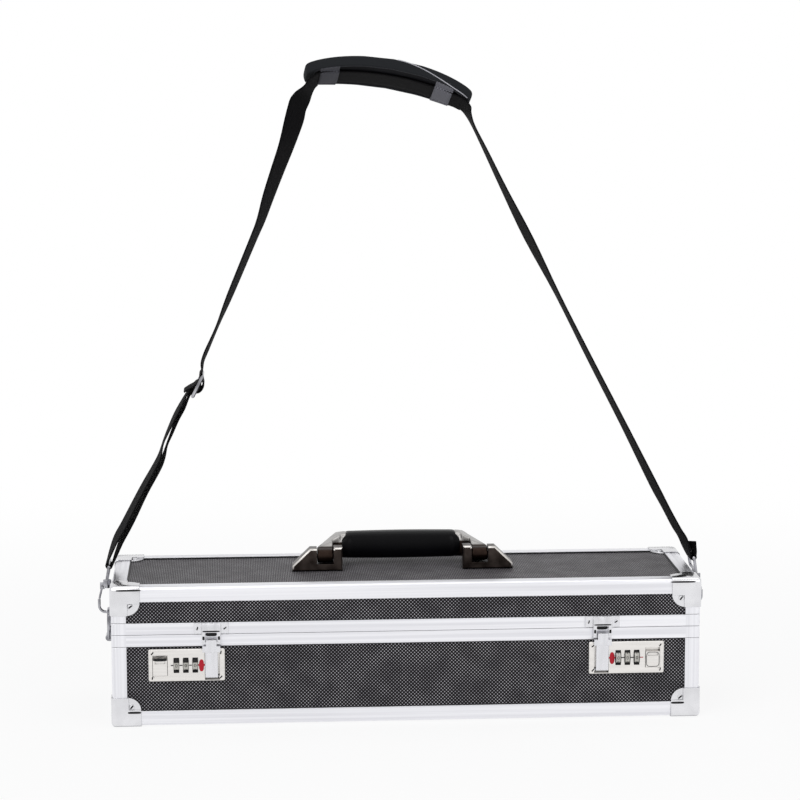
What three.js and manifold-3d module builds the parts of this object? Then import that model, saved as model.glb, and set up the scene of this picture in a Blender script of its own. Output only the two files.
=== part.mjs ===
// A hard, long and narrow knife case: black dotted panels in an aluminium rail frame, two
// combination locks, a folding carry handle and a shoulder strap clipped to its two ends.
// Millimetres. X runs along the case, Y from front (-) to back (+), Z up. The origin is the
// middle of the footprint, on the surface that the case stands on.

import * as THREE from "three";
import { RoundedBoxGeometry } from "three/addons/geometries/RoundedBoxGeometry.js";
import { mergeVertices } from "three/addons/utils/BufferGeometryUtils.js";
import Module from "manifold-3d";

const wasm = await Module();
wasm.setup();

// Case: over the corner caps
const caseLength = 475;
const caseDepth = 130;
const caseHeight = 115;
const seamHeight = 75.2;
const seamGap = 0.4;
const capWall = 1;
const railWall = 1.2;
const railFlange = 12;
const railRound = 2.4;
const bandReach = 9.5;
const panelWall = 4;
const fit = 0.3;
const seat = 0.2;

// Cutting bodies pass the faces that they open, and joined bodies reach into each other
const beyond = 400;
const overcut = 1;
const weld = 0.5;

// Corner caps and their rivets
const capReach = 24;
const capRound = 3.4;
const earWeb = 0.8;
const earSink = 1.2;
const capRivetInset = 16.6;
const rivetRadius = 2.1;
const rivetRise = 0.7;

// Dust lip that rises inside the seam
const lipRise = 2.3;
const lipWall = 1.2;
const lipClearance = 0.6;

// Foam linings
const tubWall = 10;
const tubFrontWall = 14;
const tubFloor = 8;
const foamClearance = 1;
const lidFoamLift = 3;

// Piano hinge on the back of the seam
const hingeInset = 11.5;
const knuckleCount = 17;
const knuckleRadius = 2.2;
const knuckleBore = 1.25;
const hingePinRadius = 1;
const leafWall = 1;
const leafReach = 8.8;
const knuckleGap = 0.4;

// Combination locks: "out" is the distance from the lock's middle towards the case's end
const lockInset = 60.7;
const lockDrop = 24.8;
const plateLength = 61;
const plateHeight = 26.4;
const plateWall = 2.5;
const plateRound = 1.4;
const plateBevel = 0.5;
const housingLength = 56;
const housingHeight = 23.6;
const housingWall = 1.4;
const screwInset = 3.2;
const screwRadius = 1.5;
const screwRise = 0.35;
const dialCount = 3;
const dialRadius = 7.5;
const dialWidth = 3.8;
const dialPitch = 7.5;
const dialFacets = 10;
const dialProud = 1.9;
const dialMiddleOut = 0.7;
const windowWidth = 4.4;
const windowHeight = 12.3;
const windowWall = 1;
const spindleRadius = 1.5;
const spindleClearance = 0.3;
const buttonOut = 21.2;
const buttonWidth = 11.4;
const buttonHeight = 13;
const buttonLow = 8.1;
const buttonProud = 1;
const buttonDepth = 4.7;
const buttonTravel = 3;
const buttonGrooveInset = 1.6;
const buttonGrooveWidth = 1.8;
const buttonGrooveDepth = 0.7;

// Hasps and the keepers that they hook
const haspOut = -19.8;
const haspWidth = 10;
const haspWall = 1.5;
const haspProud = 0.7;
const haspSlit = 1.5;
const haspPivotDrop = 9.6;
const haspPivotDepth = 1.6;
const haspBarrelRadius = 1.6;
const haspPinRadius = 0.8;
const haspPinClearance = 0.2;
const haspSwingFloor = 0.5;
const haspPinLength = 14.5;
const haspHeadWidth = 14.2;
const haspHeadLow = 11.6;
const haspHeadGap = 0.5;
const haspNeckWall = 1.3;
const haspNeckGap = 0.4;
const haspNeckSide = 0.6;
const haspOpenRest = 4.5;
const keeperEarLength = 27.8;
const keeperEarWall = 1;
const keeperEarDrop = 0.4;
const keeperWidth = 15;
const keeperProud = 3.2;
const keeperArmWall = 2.7;
const keeperWindowRise = 1.8;
const keeperBarHeight = 2;
const keeperBarWall = 1.7;
const keeperHang = 7.9;
const keeperSlope = 5;
const keeperTopWall = 0.9;
const clawHeight = 2;
const clawReach = 2.2;
const clawClearance = 0.9;
const keeperRivetOut = 11;
const keeperRivetRadius = 1.5;
const keeperRivetRise = 0.5;

// Carry handle: brackets on the lid, and arms that fold back with the grip. A rise is measured
// from the lid panel's face.
const bracketInner = 49.5;
const bracketOuter = 90.5;
const bracketHalfDepth = 6.8;
const bracketBevel = 1.2;
const postRise = 19.5;
const postWall = 7;
const wedgeRise = 18.8;
const wedgeShoulder = 76;
const wedgeFoot = 4.9;
const pivotRise = 12;
const barrelRadius = 5.7;
const barrelWidth = 12.8;
const barrelBore = 2.1;
const handlePinRadius = 1.7;
const recessClearance = 0.4;
const gripHalfLength = 50.3;
const gripMiddleY = 30.2;
const gripWidth = 21.6;
const gripHeight = 22.8;
const gripRise = 26.4;
const gripBowShare = 0.95;
const gripSquareness = 0.72;
const gripRound = 8.8;
const gripEndShrink = 0.8;
const armEndWall = 3;
const armFoot = 5;
const armRiseInner = 24.9;
const armRiseMiddle = 21.7;
const armRiseOuter = 18.1;
const armRiseBack = 23.5;

// End rings, snap hooks and swivel eyes. A rise is measured from the ring's top.
const ringStandoff = 3.5;
const ringBarDrop = 15.2;
const ringWire = 1.2;
const ringHalfWidth = 9.5;
const ringReach = 23;
const ringCorner = 1.6;
const saddleHalfLength = 6.6;
const saddleRadius = 2.8;
const saddlePlateHalf = 11;
const saddlePlateBelow = 10;
const saddlePlateAbove = 4.8;
const saddlePlateWall = 1.2;
const saddleScrewInset = 2.4;
const saddleScrewRadius = 1.4;
const hookWire = 1.2;
const hookTipOut = 7.6;
const hookTipRise = 8;
const hookTipBend = 5.2;
const collarRise = 19;
const collarLength = 5;
const collarRadius = 3.4;
const collarOut = 0.8;
const stemRadius = 1.2;
const stemHeadRadius = 1.9;
const stemHeadLength = 1.4;
const gateRadius = 0.9;
const gatePivotOut = 5.2;
const gatePivotRise = 17.6;
const gateAxleRadius = 0.7;
const gateTipIn = 0.2;
const gateTipGap = 0.5;
const lugHalfWidth = 1.6;
const lugWall = 1.4;
const eyeWire = 1.3;
const eyeHalfWidth = 14.4;
const eyeFootHalfWidth = 13.4;
const eyeFootRise = 26.6;
const eyeTopRise = 37.8;
const eyeLean = 9;
const eyeCorner = 2.2;

// Strap webbing, its adjuster and the shoulder pad
const webWidth = 25;
const webWall = 1.4;
const strapLean = 26;
const adjusterLean = 27;
const adjusterBarPitch = 9;
const adjusterBarRadius = 1.2;
const adjusterHalfWidth = 14.6;
const adjusterSideRadius = 1.5;
const padRadius = 210;
const padHalfAngle = 18.7;
const padMiddleX = -9.4;
const padRise = 401.7;
const padSlope = -9;
const padTilt = 20;
const padTwist = 3;
const padHalfWidth = 26;
const padEndHalfWidth = 14.6;
const padRim = 6.5;
const padCrown = 3;
const padBelly = 1;
const padEdgeShare = 0.7;
const padEndShare = 0.8;
const padEndPower = 14;
const padRimShare = 0.1;
const padRunStart = 0.92;
const padRunEnd = -0.84;
const padRunSteps = 12;

const degree = Math.PI / 180;
const railX = caseLength / 2 - capWall;
const railY = caseDepth / 2 - capWall;
const railLow = capWall;
const railHigh = caseHeight - capWall;
const panelX = railX - railWall - fit;
const panelY = railY - railWall - fit;
const floorTop = railLow + railWall + fit + panelWall;
const ceiling = railHigh - railWall - fit - panelWall;
const baseBandLow = seamHeight - bandReach;
const baseBandHigh = seamHeight - seamGap / 2;
const lidBandLow = seamHeight + seamGap / 2;
const lidBandHigh = seamHeight + bandReach;
const lidWebTop = seamHeight + lipRise + lipClearance + railWall;
const liningX = panelX - panelWall - fit - lipWall;
const liningY = panelY - panelWall - fit - lipWall;
const hingeLength = caseLength - 2 * hingeInset;
const lockX = caseLength / 2 - lockInset;
const lockZ = seamHeight - lockDrop;
const keeperWindowTop = seamHeight + keeperWindowRise;
const lidFace = ceiling + panelWall;
const postTop = lidFace + postRise;
const wedgeTop = lidFace + wedgeRise;
const wedgeLow = lidFace + wedgeFoot;
const pivotHeight = lidFace + pivotRise;
const gripTop = lidFace + gripRise;
const armLow = lidFace + armFoot;
const ringX = caseLength / 2 + ringStandoff;
const ringBarHeight = seamHeight - ringBarDrop;
const ringTop = ringBarHeight + ringReach;
const hookTipHeight = ringTop + hookTipRise;
const collarHeight = ringTop + collarRise;
const gatePivotHeight = ringTop + gatePivotRise;
const eyeLow = ringTop + eyeFootRise;
const eyeHigh = ringTop + eyeTopRise;
const padMiddleZ = caseHeight + padRise;

const finish = (color, roughness, metalness) =>
  new THREE.MeshStandardMaterial({ color, roughness, metalness });
const railFinish = () => finish(0xe8e8ec, 0.35, 0.9);
const capFinish = () => finish(0xdcdce0, 0.3, 0.95);
const panelFinish = () => finish(0x1b1a1d, 0.6, 0);
const foamFinish = () => finish(0x2a2a2c, 0.95, 0);
const lockFinish = () => finish(0xe4e2de, 0.28, 1);
const dialFinish = () => finish(0xb9b7b2, 0.35, 0.9);
const gunmetalFinish = () => finish(0x6b625d, 0.35, 0.9);
const gripFinish = () => finish(0x0d0d12, 0.4, 0);
const chromeFinish = () => finish(0xd8d8da, 0.12, 1);
const webFinish = () => finish(0x1c1a1c, 0.9, 0);

// Solids

function solidOf(geometry) {
  const bare = geometry.clone();
  bare.deleteAttribute("normal");
  bare.deleteAttribute("uv");
  const merged = mergeVertices(bare, 1e-4);
  return new wasm.Manifold(
    new wasm.Mesh({
      numProp: 3,
      vertProperties: new Float32Array(merged.attributes.position.array),
      triVerts: new Uint32Array(merged.index.array),
    }),
  );
}

function box(x, y, z) {
  const size = [x, y, z].map(([a, b]) => Math.abs(b - a));
  const middle = [x, y, z].map(([a, b]) => (a + b) / 2);
  return solidOf(new THREE.BoxGeometry(...size).translate(...middle));
}

function roundedBox(halfX, halfY, low, high, radius) {
  const shape = new RoundedBoxGeometry(2 * halfX, 2 * halfY, high - low, 2, radius);
  return solidOf(shape.translate(0, 0, (low + high) / 2));
}

// A flat outline in two of the axes, stretched along the third from low to high
function prism(points, axis, low, high, bevel = 0) {
  const shape = new THREE.Shape(points.map(([a, b]) => new THREE.Vector2(a, b)));
  const geometry = new THREE.ExtrudeGeometry(shape, {
    depth: high - low - 2 * bevel,
    bevelEnabled: bevel > 0,
    bevelThickness: bevel,
    bevelSize: bevel,
    bevelOffset: -bevel,
    bevelSegments: 1,
    curveSegments: 8,
  });
  geometry.translate(0, 0, low + bevel);
  if (axis === "x") geometry.rotateX(Math.PI / 2).rotateZ(Math.PI / 2);
  if (axis === "y") {
    geometry.rotateX(Math.PI / 2);
    geometry.translate(0, low + high, 0);
  }
  return solidOf(geometry);
}

function cylinder(axis, radius, middle, length, sides = 20) {
  const geometry = new THREE.CylinderGeometry(radius, radius, length, sides);
  if (axis === "x") geometry.rotateZ(Math.PI / 2);
  if (axis === "z") geometry.rotateX(Math.PI / 2);
  return solidOf(geometry.translate(...middle));
}

// Rings of points skinned into one closed body, either capped at both ends or joined round
function skin(rings, closed = false) {
  const sides = rings[0].length;
  const vertices = rings.flat();
  const triangles = [];
  const last = closed ? rings.length : rings.length - 1;
  for (let i = 0; i < last; i++) {
    for (let k = 0; k < sides; k++) {
      const a = i * sides + k;
      const b = i * sides + ((k + 1) % sides);
      const c = ((i + 1) % rings.length) * sides + k;
      const d = ((i + 1) % rings.length) * sides + ((k + 1) % sides);
      triangles.push(a, b, d, a, d, c);
    }
  }
  if (!closed) {
    for (const [ring, turn] of [[0, 1], [rings.length - 1, -1]]) {
      const middle = new THREE.Vector3();
      rings[ring].forEach((p) => middle.addScaledVector(p, 1 / sides));
      vertices.push(middle);
      for (let k = 0; k < sides; k++) {
        const a = ring * sides + k;
        const b = ring * sides + ((k + 1) % sides);
        if (turn > 0) triangles.push(vertices.length - 1, b, a);
        else triangles.push(vertices.length - 1, a, b);
      }
    }
  }
  const geometry = new THREE.BufferGeometry();
  const flat = vertices.flatMap((p) => [p.x, p.y, p.z]);
  geometry.setAttribute("position", new THREE.Float32BufferAttribute(flat, 3));
  geometry.setIndex(triangles);
  const made = solidOf(geometry);
  if (made.volume() > 0) return made;
  geometry.setIndex(triangles.reverse());
  return solidOf(geometry);
}

// Round wire along points that lie in one plane, whose unit normal is given
function wire(points, normal, radius, closed = false, sides = 8) {
  const count = points.length;
  const rings = points.map((p, i) => {
    const before = points[closed ? (i + count - 1) % count : Math.max(i - 1, 0)];
    const after = points[closed ? (i + 1) % count : Math.min(i + 1, count - 1)];
    const along = after.clone().sub(before).normalize();
    const side = along.clone().cross(normal).normalize();
    return Array.from({ length: sides }, (_, k) => {
      const angle = (2 * Math.PI * (k + 0.5)) / sides;
      return p.clone()
        .addScaledVector(side, radius * Math.cos(angle))
        .addScaledVector(normal, radius * Math.sin(angle));
    });
  });
  return skin(rings, closed);
}

function arcPoints(middleA, middleB, radius, from, to, steps) {
  return Array.from({ length: steps + 1 }, (_, k) => {
    const angle = (from + ((to - from) * k) / steps) * degree;
    return [middleA + radius * Math.cos(angle), middleB + radius * Math.sin(angle)];
  });
}

function meshOf(name, solid, material) {
  const made = solid.getMesh();
  const geometry = new THREE.BufferGeometry();
  const positions = new Float32Array(made.vertProperties);
  geometry.setAttribute("position", new THREE.BufferAttribute(positions, 3));
  geometry.setIndex(new THREE.BufferAttribute(new Uint32Array(made.triVerts), 1));
  geometry.computeVertexNormals();
  const mesh = new THREE.Mesh(geometry, material);
  mesh.name = name;
  return mesh;
}

const span = (half) => [-half, half];
const opened = ([from, to]) => [from - overcut, to + overcut];
const throughout = span(beyond);

// Aluminium frames

// The rail skin of one half: edge rails with four corner posts, open where the panels show
function frameRails(low, high, openLow) {
  const outer = roundedBox(railX, railY, railLow, railHigh, railRound);
  const hollowZ = [railLow + railWall, railHigh - railWall];
  const hollow = box(span(railX - railWall), span(railY - railWall), hollowZ);
  const windowZ = openLow ? [low - overcut, high - railFlange] : [low + railFlange, high + overcut];
  const endZ = openLow ? [high - railWall, high] : [low, low + railWall];
  return outer
    .subtract(hollow)
    .intersect(box(throughout, throughout, [low, high]))
    .subtract(box(span(railX - railFlange), throughout, windowZ))
    .subtract(box(throughout, span(railY - railFlange), windowZ))
    .subtract(box(span(railX - railFlange), span(railY - railFlange), opened(endZ)));
}

function ringBetween(outerX, outerY, innerX, innerY, z) {
  return box(span(outerX), span(outerY), z).subtract(box(span(innerX), span(innerY), opened(z)));
}

// A channel rail that caps the panels' edges along the seam
function bandRail(z, grooveZ) {
  const outer = roundedBox(railX, railY, railLow, railHigh, railRound);
  const [innerX, innerY] = [liningX + lipWall, liningY + lipWall];
  return outer
    .intersect(box(throughout, throughout, z))
    .subtract(box(span(liningX), span(liningY), opened(z)))
    .subtract(ringBetween(railX - railWall, railY - railWall, innerX, innerY, grooveZ));
}

function baseBand() {
  const grooveZ = [baseBandLow - overcut, baseBandHigh - railWall];
  const band = bandRail([baseBandLow, baseBandHigh], grooveZ);
  const lipZ = [baseBandHigh - weld, seamHeight + lipRise];
  return band.add(ringBetween(liningX + lipWall, liningY + lipWall, liningX, liningY, lipZ));
}

function lidBand() {
  const band = bandRail([lidBandLow, lidBandHigh], [lidWebTop, lidBandHigh + overcut]);
  const rabbetX = liningX + lipWall + lipClearance;
  const rabbetY = liningY + lipWall + lipClearance;
  const rabbetZ = [lidBandLow - overcut, lidWebTop - railWall];
  return band.subtract(box(span(rabbetX), span(rabbetY), rabbetZ));
}

// One stamped corner cap, made at the corner that the three signs name. On each of its three
// faces a quarter-round ear is sunk into the panel's window and carries a rivet.
function cornerCap(sx, sy, sz) {
  const corner = [(sx * caseLength) / 2, (sy * caseDepth) / 2, sz > 0 ? caseHeight : 0];
  const inward = [-sx, -sy, -sz];
  const at = (axis, distance) => corner[axis] + inward[axis] * distance;
  const reach = (axis, from, to) => [at(axis, from), at(axis, to)];
  const earStart = capWall + railFlange + fit;
  const earDepth = capWall + railWall;
  const toBlock = [0, 1, 2].map((axis) => reach(axis, -overcut, capReach));
  let cap = roundedBox(caseLength / 2, caseDepth / 2, 0, caseHeight, capRound)
    .subtract(roundedBox(railX + seat, railY + seat, railLow - seat, railHigh + seat, railRound))
    .intersect(box(...toBlock));
  for (const normal of [0, 1, 2]) {
    const inPlane = [0, 1, 2].filter((axis) => axis !== normal);
    const zone = (from, to, depth) => {
      const sides = [];
      inPlane.forEach((axis) => (sides[axis] = reach(axis, from, to)));
      sides[normal] = reach(normal, ...depth);
      return box(...sides);
    };
    const stud = (inset, depth, radius, sides) => {
      const middle = [];
      inPlane.forEach((axis) => (middle[axis] = at(axis, inset)));
      middle[normal] = at(normal, (depth[0] + depth[1]) / 2);
      return cylinder("xyz"[normal], radius, middle, depth[1] - depth[0], sides);
    };
    const disc = stud(earStart, [0, earDepth], capReach - earStart, 32);
    cap = cap
      .subtract(zone(earStart, capReach + overcut, [-overcut, earDepth]))
      .add(disc.intersect(zone(earStart, capReach, [0, earDepth])))
      .subtract(zone(earStart + earWeb, capReach + overcut, [-overcut, earSink]))
      .add(stud(capRivetInset, [earSink - rivetRise, earSink + weld], rivetRadius, 12));
  }
  return cap;
}

// Panels and foam

// The room that a lock's housing takes in the front panel and in the foam behind it
function lockCutout(side) {
  const half = housingLength / 2 + fit;
  const up = housingHeight / 2 + fit;
  const x = [side * lockX - half, side * lockX + half];
  return box(x, [-railY, -liningY + tubFrontWall / 2 + fit], [lockZ - up, lockZ + up]);
}

function panels(low, high, lowLid) {
  const inner = panelY - panelWall;
  const z = [low, high];
  const flatZ = lowLid ? [ceiling, ceiling + panelWall] : [floorTop - panelWall, floorTop];
  return {
    flat: box(span(panelX), span(panelY), flatZ),
    front: box(span(panelX), [-panelY, -inner], z),
    back: box(span(panelX), [inner, panelY], z),
    left: box([-panelX, -panelX + panelWall], span(inner - fit), z),
    right: box([panelX - panelWall, panelX], span(inner - fit), z),
  };
}

function foamTub() {
  const outerZ = [floorTop + fit, seamHeight - foamClearance];
  const outer = box(span(liningX - fit), span(liningY - fit), outerZ);
  const cavity = box(
    span(liningX - tubWall),
    [-liningY + tubFrontWall, liningY - tubWall],
    [floorTop + tubFloor, seamHeight + overcut],
  );
  return outer.subtract(cavity).subtract(lockCutout(-1)).subtract(lockCutout(1));
}

// Piano hinge

const hingeY = railY + knuckleRadius + knuckleGap;

function hingeLeaf(up) {
  const direction = up ? 1 : -1;
  const clear = knuckleRadius + knuckleGap;
  const z = (from, to) => [seamHeight + direction * from, seamHeight + direction * to];
  const faceY = [railY + seat, railY + seat + leafWall];
  const pitch = hingeLength / knuckleCount;
  let leaf = box(span(hingeLength / 2), faceY, z(clear, leafReach));
  for (let k = up ? 1 : 0; k < knuckleCount; k += 2) {
    const from = -hingeLength / 2 + k * pitch + knuckleGap / 2;
    const x = [from, from + pitch - knuckleGap];
    const middle = [from + (pitch - knuckleGap) / 2, hingeY, seamHeight];
    leaf = leaf.add(box(x, faceY, z(0, clear + weld)));
    leaf = leaf.add(cylinder("x", knuckleRadius, middle, pitch - knuckleGap, 12));
  }
  const axis = [0, hingeY, seamHeight];
  return leaf.subtract(cylinder("x", knuckleBore, axis, hingeLength + 2 * overcut, 12));
}

// Locks

const plateBack = -panelY - seat;
const plateFront = plateBack - plateWall;
const spindleY = plateFront - dialProud + dialRadius;
const haspX = (side) => side * (lockX + haspOut);
const haspFront = plateFront - haspProud;
const haspPivot = [plateFront + haspPivotDepth, lockZ - haspPivotDrop];

// A box given by its distances out from the lock's middle and up from it
function lockBox(side, out, y, up) {
  return box(out.map((value) => side * (lockX + value)), y, up.map((value) => lockZ + value));
}

const around = (middle, half) => [middle - half, middle + half];
const dialOut = (k) => dialMiddleOut + (k - (dialCount - 1) / 2) * dialPitch;
const chamberHalf = ((dialCount - 1) * dialPitch + dialWidth) / 2 + housingWall;

// The face plate's outline in X and Z, with rounded corners
function plateOutline(side) {
  const quarters = [[1, 1], [-1, 1], [-1, -1], [1, -1]];
  return quarters.flatMap(([sx, sz], turn) => {
    const middleX = side * lockX + sx * (plateLength / 2 - plateRound);
    const middleZ = lockZ + sz * (plateHeight / 2 - plateRound);
    return arcPoints(middleX, middleZ, plateRound, turn * 90, (turn + 1) * 90, 3);
  });
}

// The face plate with the housing behind it, hollow and windowed for the dials on their spindle
function dialHousing(side) {
  const chamberBack = spindleY + dialRadius + fit;
  const housingY = [plateBack - weld, chamberBack + housingWall];
  const chamberY = [plateFront + windowWall, chamberBack];
  const chamberOut = around(dialMiddleOut, chamberHalf);
  let housing = prism(plateOutline(side), "y", plateFront, plateBack, plateBevel)
    .add(lockBox(side, span(housingLength / 2), housingY, span(housingHeight / 2)))
    .subtract(lockBox(side, chamberOut, chamberY, span(dialRadius + 2 * fit)));
  const windowY = opened([plateFront, plateFront + windowWall]);
  for (let k = 0; k < dialCount; k++) {
    const out = around(dialOut(k), windowWidth / 2);
    housing = housing.subtract(lockBox(side, out, windowY, span(windowHeight / 2)));
  }
  const spindleMiddle = [side * (lockX + dialMiddleOut), spindleY, lockZ];
  return housing.add(cylinder("x", spindleRadius, spindleMiddle, 2 * chamberHalf + housingWall, 12));
}

// The channel that the hasp lies in, with the room for its barrel, its pin and its swing
function haspChannel(side) {
  const out = [haspOut - haspWidth / 2 - haspSlit, haspOut + haspWidth / 2 + fit];
  const front = plateFront - overcut;
  const barrelRoom = haspBarrelRadius + fit;
  const swingRoom = haspPivotDepth + haspProud + fit;
  const stripY = [front, haspFront + haspWall + fit];
  const barrelY = [front, haspPivot[0] + barrelRoom];
  const swingY = [front, plateBack - haspSwingFloor];
  const pinMiddle = [haspX(side), ...haspPivot];
  const pinRoom = haspPinRadius + haspPinClearance;
  return lockBox(side, out, stripY, [-haspPivotDrop, plateHeight])
    .add(lockBox(side, out, barrelY, around(-haspPivotDrop, barrelRoom)))
    .add(lockBox(side, out, swingY, [-haspPivotDrop - swingRoom, -haspPivotDrop]))
    .add(cylinder("x", pinRoom, pinMiddle, haspPinLength + 2 * fit, 12));
}

function lockPlate(side) {
  const buttonBack = plateFront - buttonProud + buttonDepth + fit;
  const buttonRoomOut = around(buttonOut, buttonWidth / 2 + fit);
  const buttonRoomUp = [-buttonLow - fit, -buttonLow + buttonHeight + buttonTravel + fit];
  let plate = dialHousing(side)
    .subtract(lockBox(side, buttonRoomOut, [plateFront - overcut, buttonBack], buttonRoomUp))
    .subtract(haspChannel(side));
  for (const out of span(plateLength / 2 - screwInset)) {
    for (const up of span(plateHeight / 2 - screwInset)) {
      const middle = [side * (lockX + out), plateFront, lockZ + up];
      plate = plate.add(cylinder("y", screwRadius, middle, 2 * screwRise, 12));
    }
  }
  return plate;
}

function dial(side, k) {
  const middle = [side * (lockX + dialOut(k)), spindleY, lockZ];
  const bore = spindleRadius + spindleClearance;
  return cylinder("x", dialRadius, middle, dialWidth, dialFacets)
    .subtract(cylinder("x", bore, middle, dialWidth + 2 * overcut, 12));
}

function button(side) {
  const out = around(buttonOut, buttonWidth / 2);
  const front = plateFront - buttonProud;
  const up = [-buttonLow, -buttonLow + buttonHeight];
  const grooveOut = around(buttonOut, buttonWidth / 2 - buttonGrooveInset);
  const grooveHigh = up[1] - buttonGrooveInset;
  const grooveUp = [grooveHigh - buttonGrooveWidth, grooveHigh];
  const face = lockBox(side, out, [front, front + buttonDepth], up);
  const grooveY = [front - overcut, front + buttonGrooveDepth];
  return face.subtract(lockBox(side, grooveOut, grooveY, grooveUp));
}

const keeperBarLow = seamHeight - keeperHang;
const keeperBarHigh = keeperBarLow + keeperBarHeight;
const keeperBack = -railY - 2 * seat;
const keeperFront = -railY - keeperProud;
const keeperBarFront = keeperBack - seat - keeperBarWall;

// The hasp as it lies when latched, about its own pivot
function hasp() {
  const rise = (z) => z - haspPivot[1];
  const depth = (y) => y - haspPivot[0];
  const stripY = [depth(haspFront), depth(haspFront + haspWall)];
  const headLow = rise(lockZ + haspHeadLow);
  const headHigh = rise(keeperBarLow - haspHeadGap);
  const neckBack = depth(keeperBarFront - haspNeckGap);
  const neckFront = neckBack - haspNeckWall;
  const neckX = span(keeperWidth / 2 - keeperArmWall - haspNeckSide);
  const headY = [neckFront, depth(plateFront - seat)];
  const clawLow = rise(keeperBarHigh + clawClearance);
  const clawHigh = clawLow + clawHeight;
  return box(span(haspWidth / 2), stripY, [0, headHigh])
    .add(cylinder("x", haspBarrelRadius, [0, 0, 0], haspWidth, 16))
    .add(cylinder("x", haspPinRadius, [0, 0, 0], haspPinLength, 10))
    .add(box(span(haspHeadWidth / 2), headY, [headLow, headHigh]))
    .add(box(neckX, [neckFront, neckBack], [headHigh - weld, clawHigh]))
    .add(box(neckX, [neckBack - weld, neckBack + clawReach], [clawLow, clawHigh]));
}

// The lid's keeper: riveted ears, and a bridge with a bar that the hasp's claw hooks over
function keeper(side) {
  const middle = haspX(side);
  const faceY = -railY - seat;
  const earZ = [seamHeight + seamGap + keeperEarDrop, lidBandHigh - seat];
  const bridgeZ = [keeperBarLow, earZ[1]];
  const barZ = [keeperBarLow - overcut, keeperBarHigh];
  const windowX = around(middle, keeperWidth / 2 - keeperArmWall);
  const slope = [
    [keeperFront - overcut, earZ[1] + overcut],
    [keeperFront - overcut, earZ[1] - keeperSlope],
    [keeperBack - keeperTopWall, earZ[1] + overcut],
  ];
  let made = box(around(middle, keeperEarLength / 2), [faceY - keeperEarWall, faceY], earZ)
    .add(box(around(middle, keeperWidth / 2), [keeperFront, keeperBack], bridgeZ))
    .subtract(box(windowX, opened([keeperFront, keeperBack]), [keeperBarHigh, keeperWindowTop]))
    .subtract(box(throughout, [keeperFront - overcut, keeperBarFront], barZ))
    .subtract(prism(slope, "x", -beyond, beyond));
  for (const offset of span(keeperRivetOut)) {
    const place = [middle + offset, faceY - keeperEarWall, (earZ[0] + earZ[1]) / 2];
    made = made.add(cylinder("y", keeperRivetRadius, place, 2 * keeperRivetRise, 12));
  }
  return made;
}

// Carry handle

const mirrored = (side, points) => {
  const placed = points.map(([x, other]) => [side * x, other]);
  return side > 0 ? placed : placed.reverse();
};
const recessInner = bracketInner + postWall + recessClearance / 2;
const recessOuter = recessInner + barrelWidth + 2 * recessClearance;
const barrelInner = recessInner + recessClearance;
const barrelOuter = barrelInner + barrelWidth;

function handleBracket(side) {
  const low = lidFace + seat;
  const outline = [
    [bracketInner, low],
    [bracketOuter, low],
    [bracketOuter, wedgeLow],
    [wedgeShoulder, wedgeTop],
    [bracketInner + postWall, wedgeTop],
    [bracketInner + postWall, postTop],
    [bracketInner, postTop],
  ];
  const recessX = [side * recessInner, side * recessOuter];
  const recessFloor = pivotHeight - barrelRadius - recessClearance;
  const pinMiddle = [(side * (recessInner + recessOuter)) / 2, 0, pivotHeight];
  const pinLength = recessOuter - recessInner + 2 * weld;
  return prism(mirrored(side, outline), "y", -bracketHalfDepth, bracketHalfDepth, bracketBevel)
    .subtract(box(recessX, throughout, [recessFloor, postTop + overcut]))
    .add(cylinder("x", handlePinRadius, pinMiddle, pinLength, 14));
}

const gripFront = gripMiddleY - gripWidth / 2;
const gripBack = gripMiddleY + gripWidth / 2;

// The grip's rounded-square section at x, drawn in by the share and grown by the allowance
function gripSection(x, share, grown) {
  const points = 20;
  const halfWidth = (gripWidth / 2) * share + grown;
  const halfHeight = (gripHeight / 2) * share + grown;
  const squared = (value) => Math.sign(value) * Math.abs(value) ** gripSquareness;
  return Array.from({ length: points }, (_, k) => {
    const angle = (2 * Math.PI * k) / points;
    return new THREE.Vector3(
      x,
      gripMiddleY + halfWidth * squared(Math.cos(angle)),
      gripTop - gripHeight / 2 + halfHeight * squared(Math.sin(angle)),
    );
  });
}

const bowed = (x) => gripBowShare + (1 - gripBowShare) * Math.cos(((x / gripHalfLength) * Math.PI) / 2);

// The moulded grip, slightly bowed, with round ends
function grip(grown = 0) {
  const middleSteps = 8;
  const endSteps = 6;
  const straight = gripHalfLength - gripRound;
  const half = [];
  for (let i = 0; i < middleSteps / 2; i++) {
    const x = (straight * i) / (middleSteps / 2);
    half.push([x, bowed(x)]);
  }
  for (let i = 0; i <= endSteps; i++) {
    const along = Math.sin((i / endSteps) * (Math.PI / 2));
    const x = straight + gripRound * along;
    half.push([x, bowed(x) * (1 - gripEndShrink * (1 - Math.sqrt(1 - along ** 2)))]);
  }
  half[half.length - 1][0] += grown;
  const other = half.slice(1).reverse().map(([x, share]) => [-x, share]);
  return skin([...other, ...half].map(([x, share]) => gripSection(x, share, grown)));
}

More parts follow.
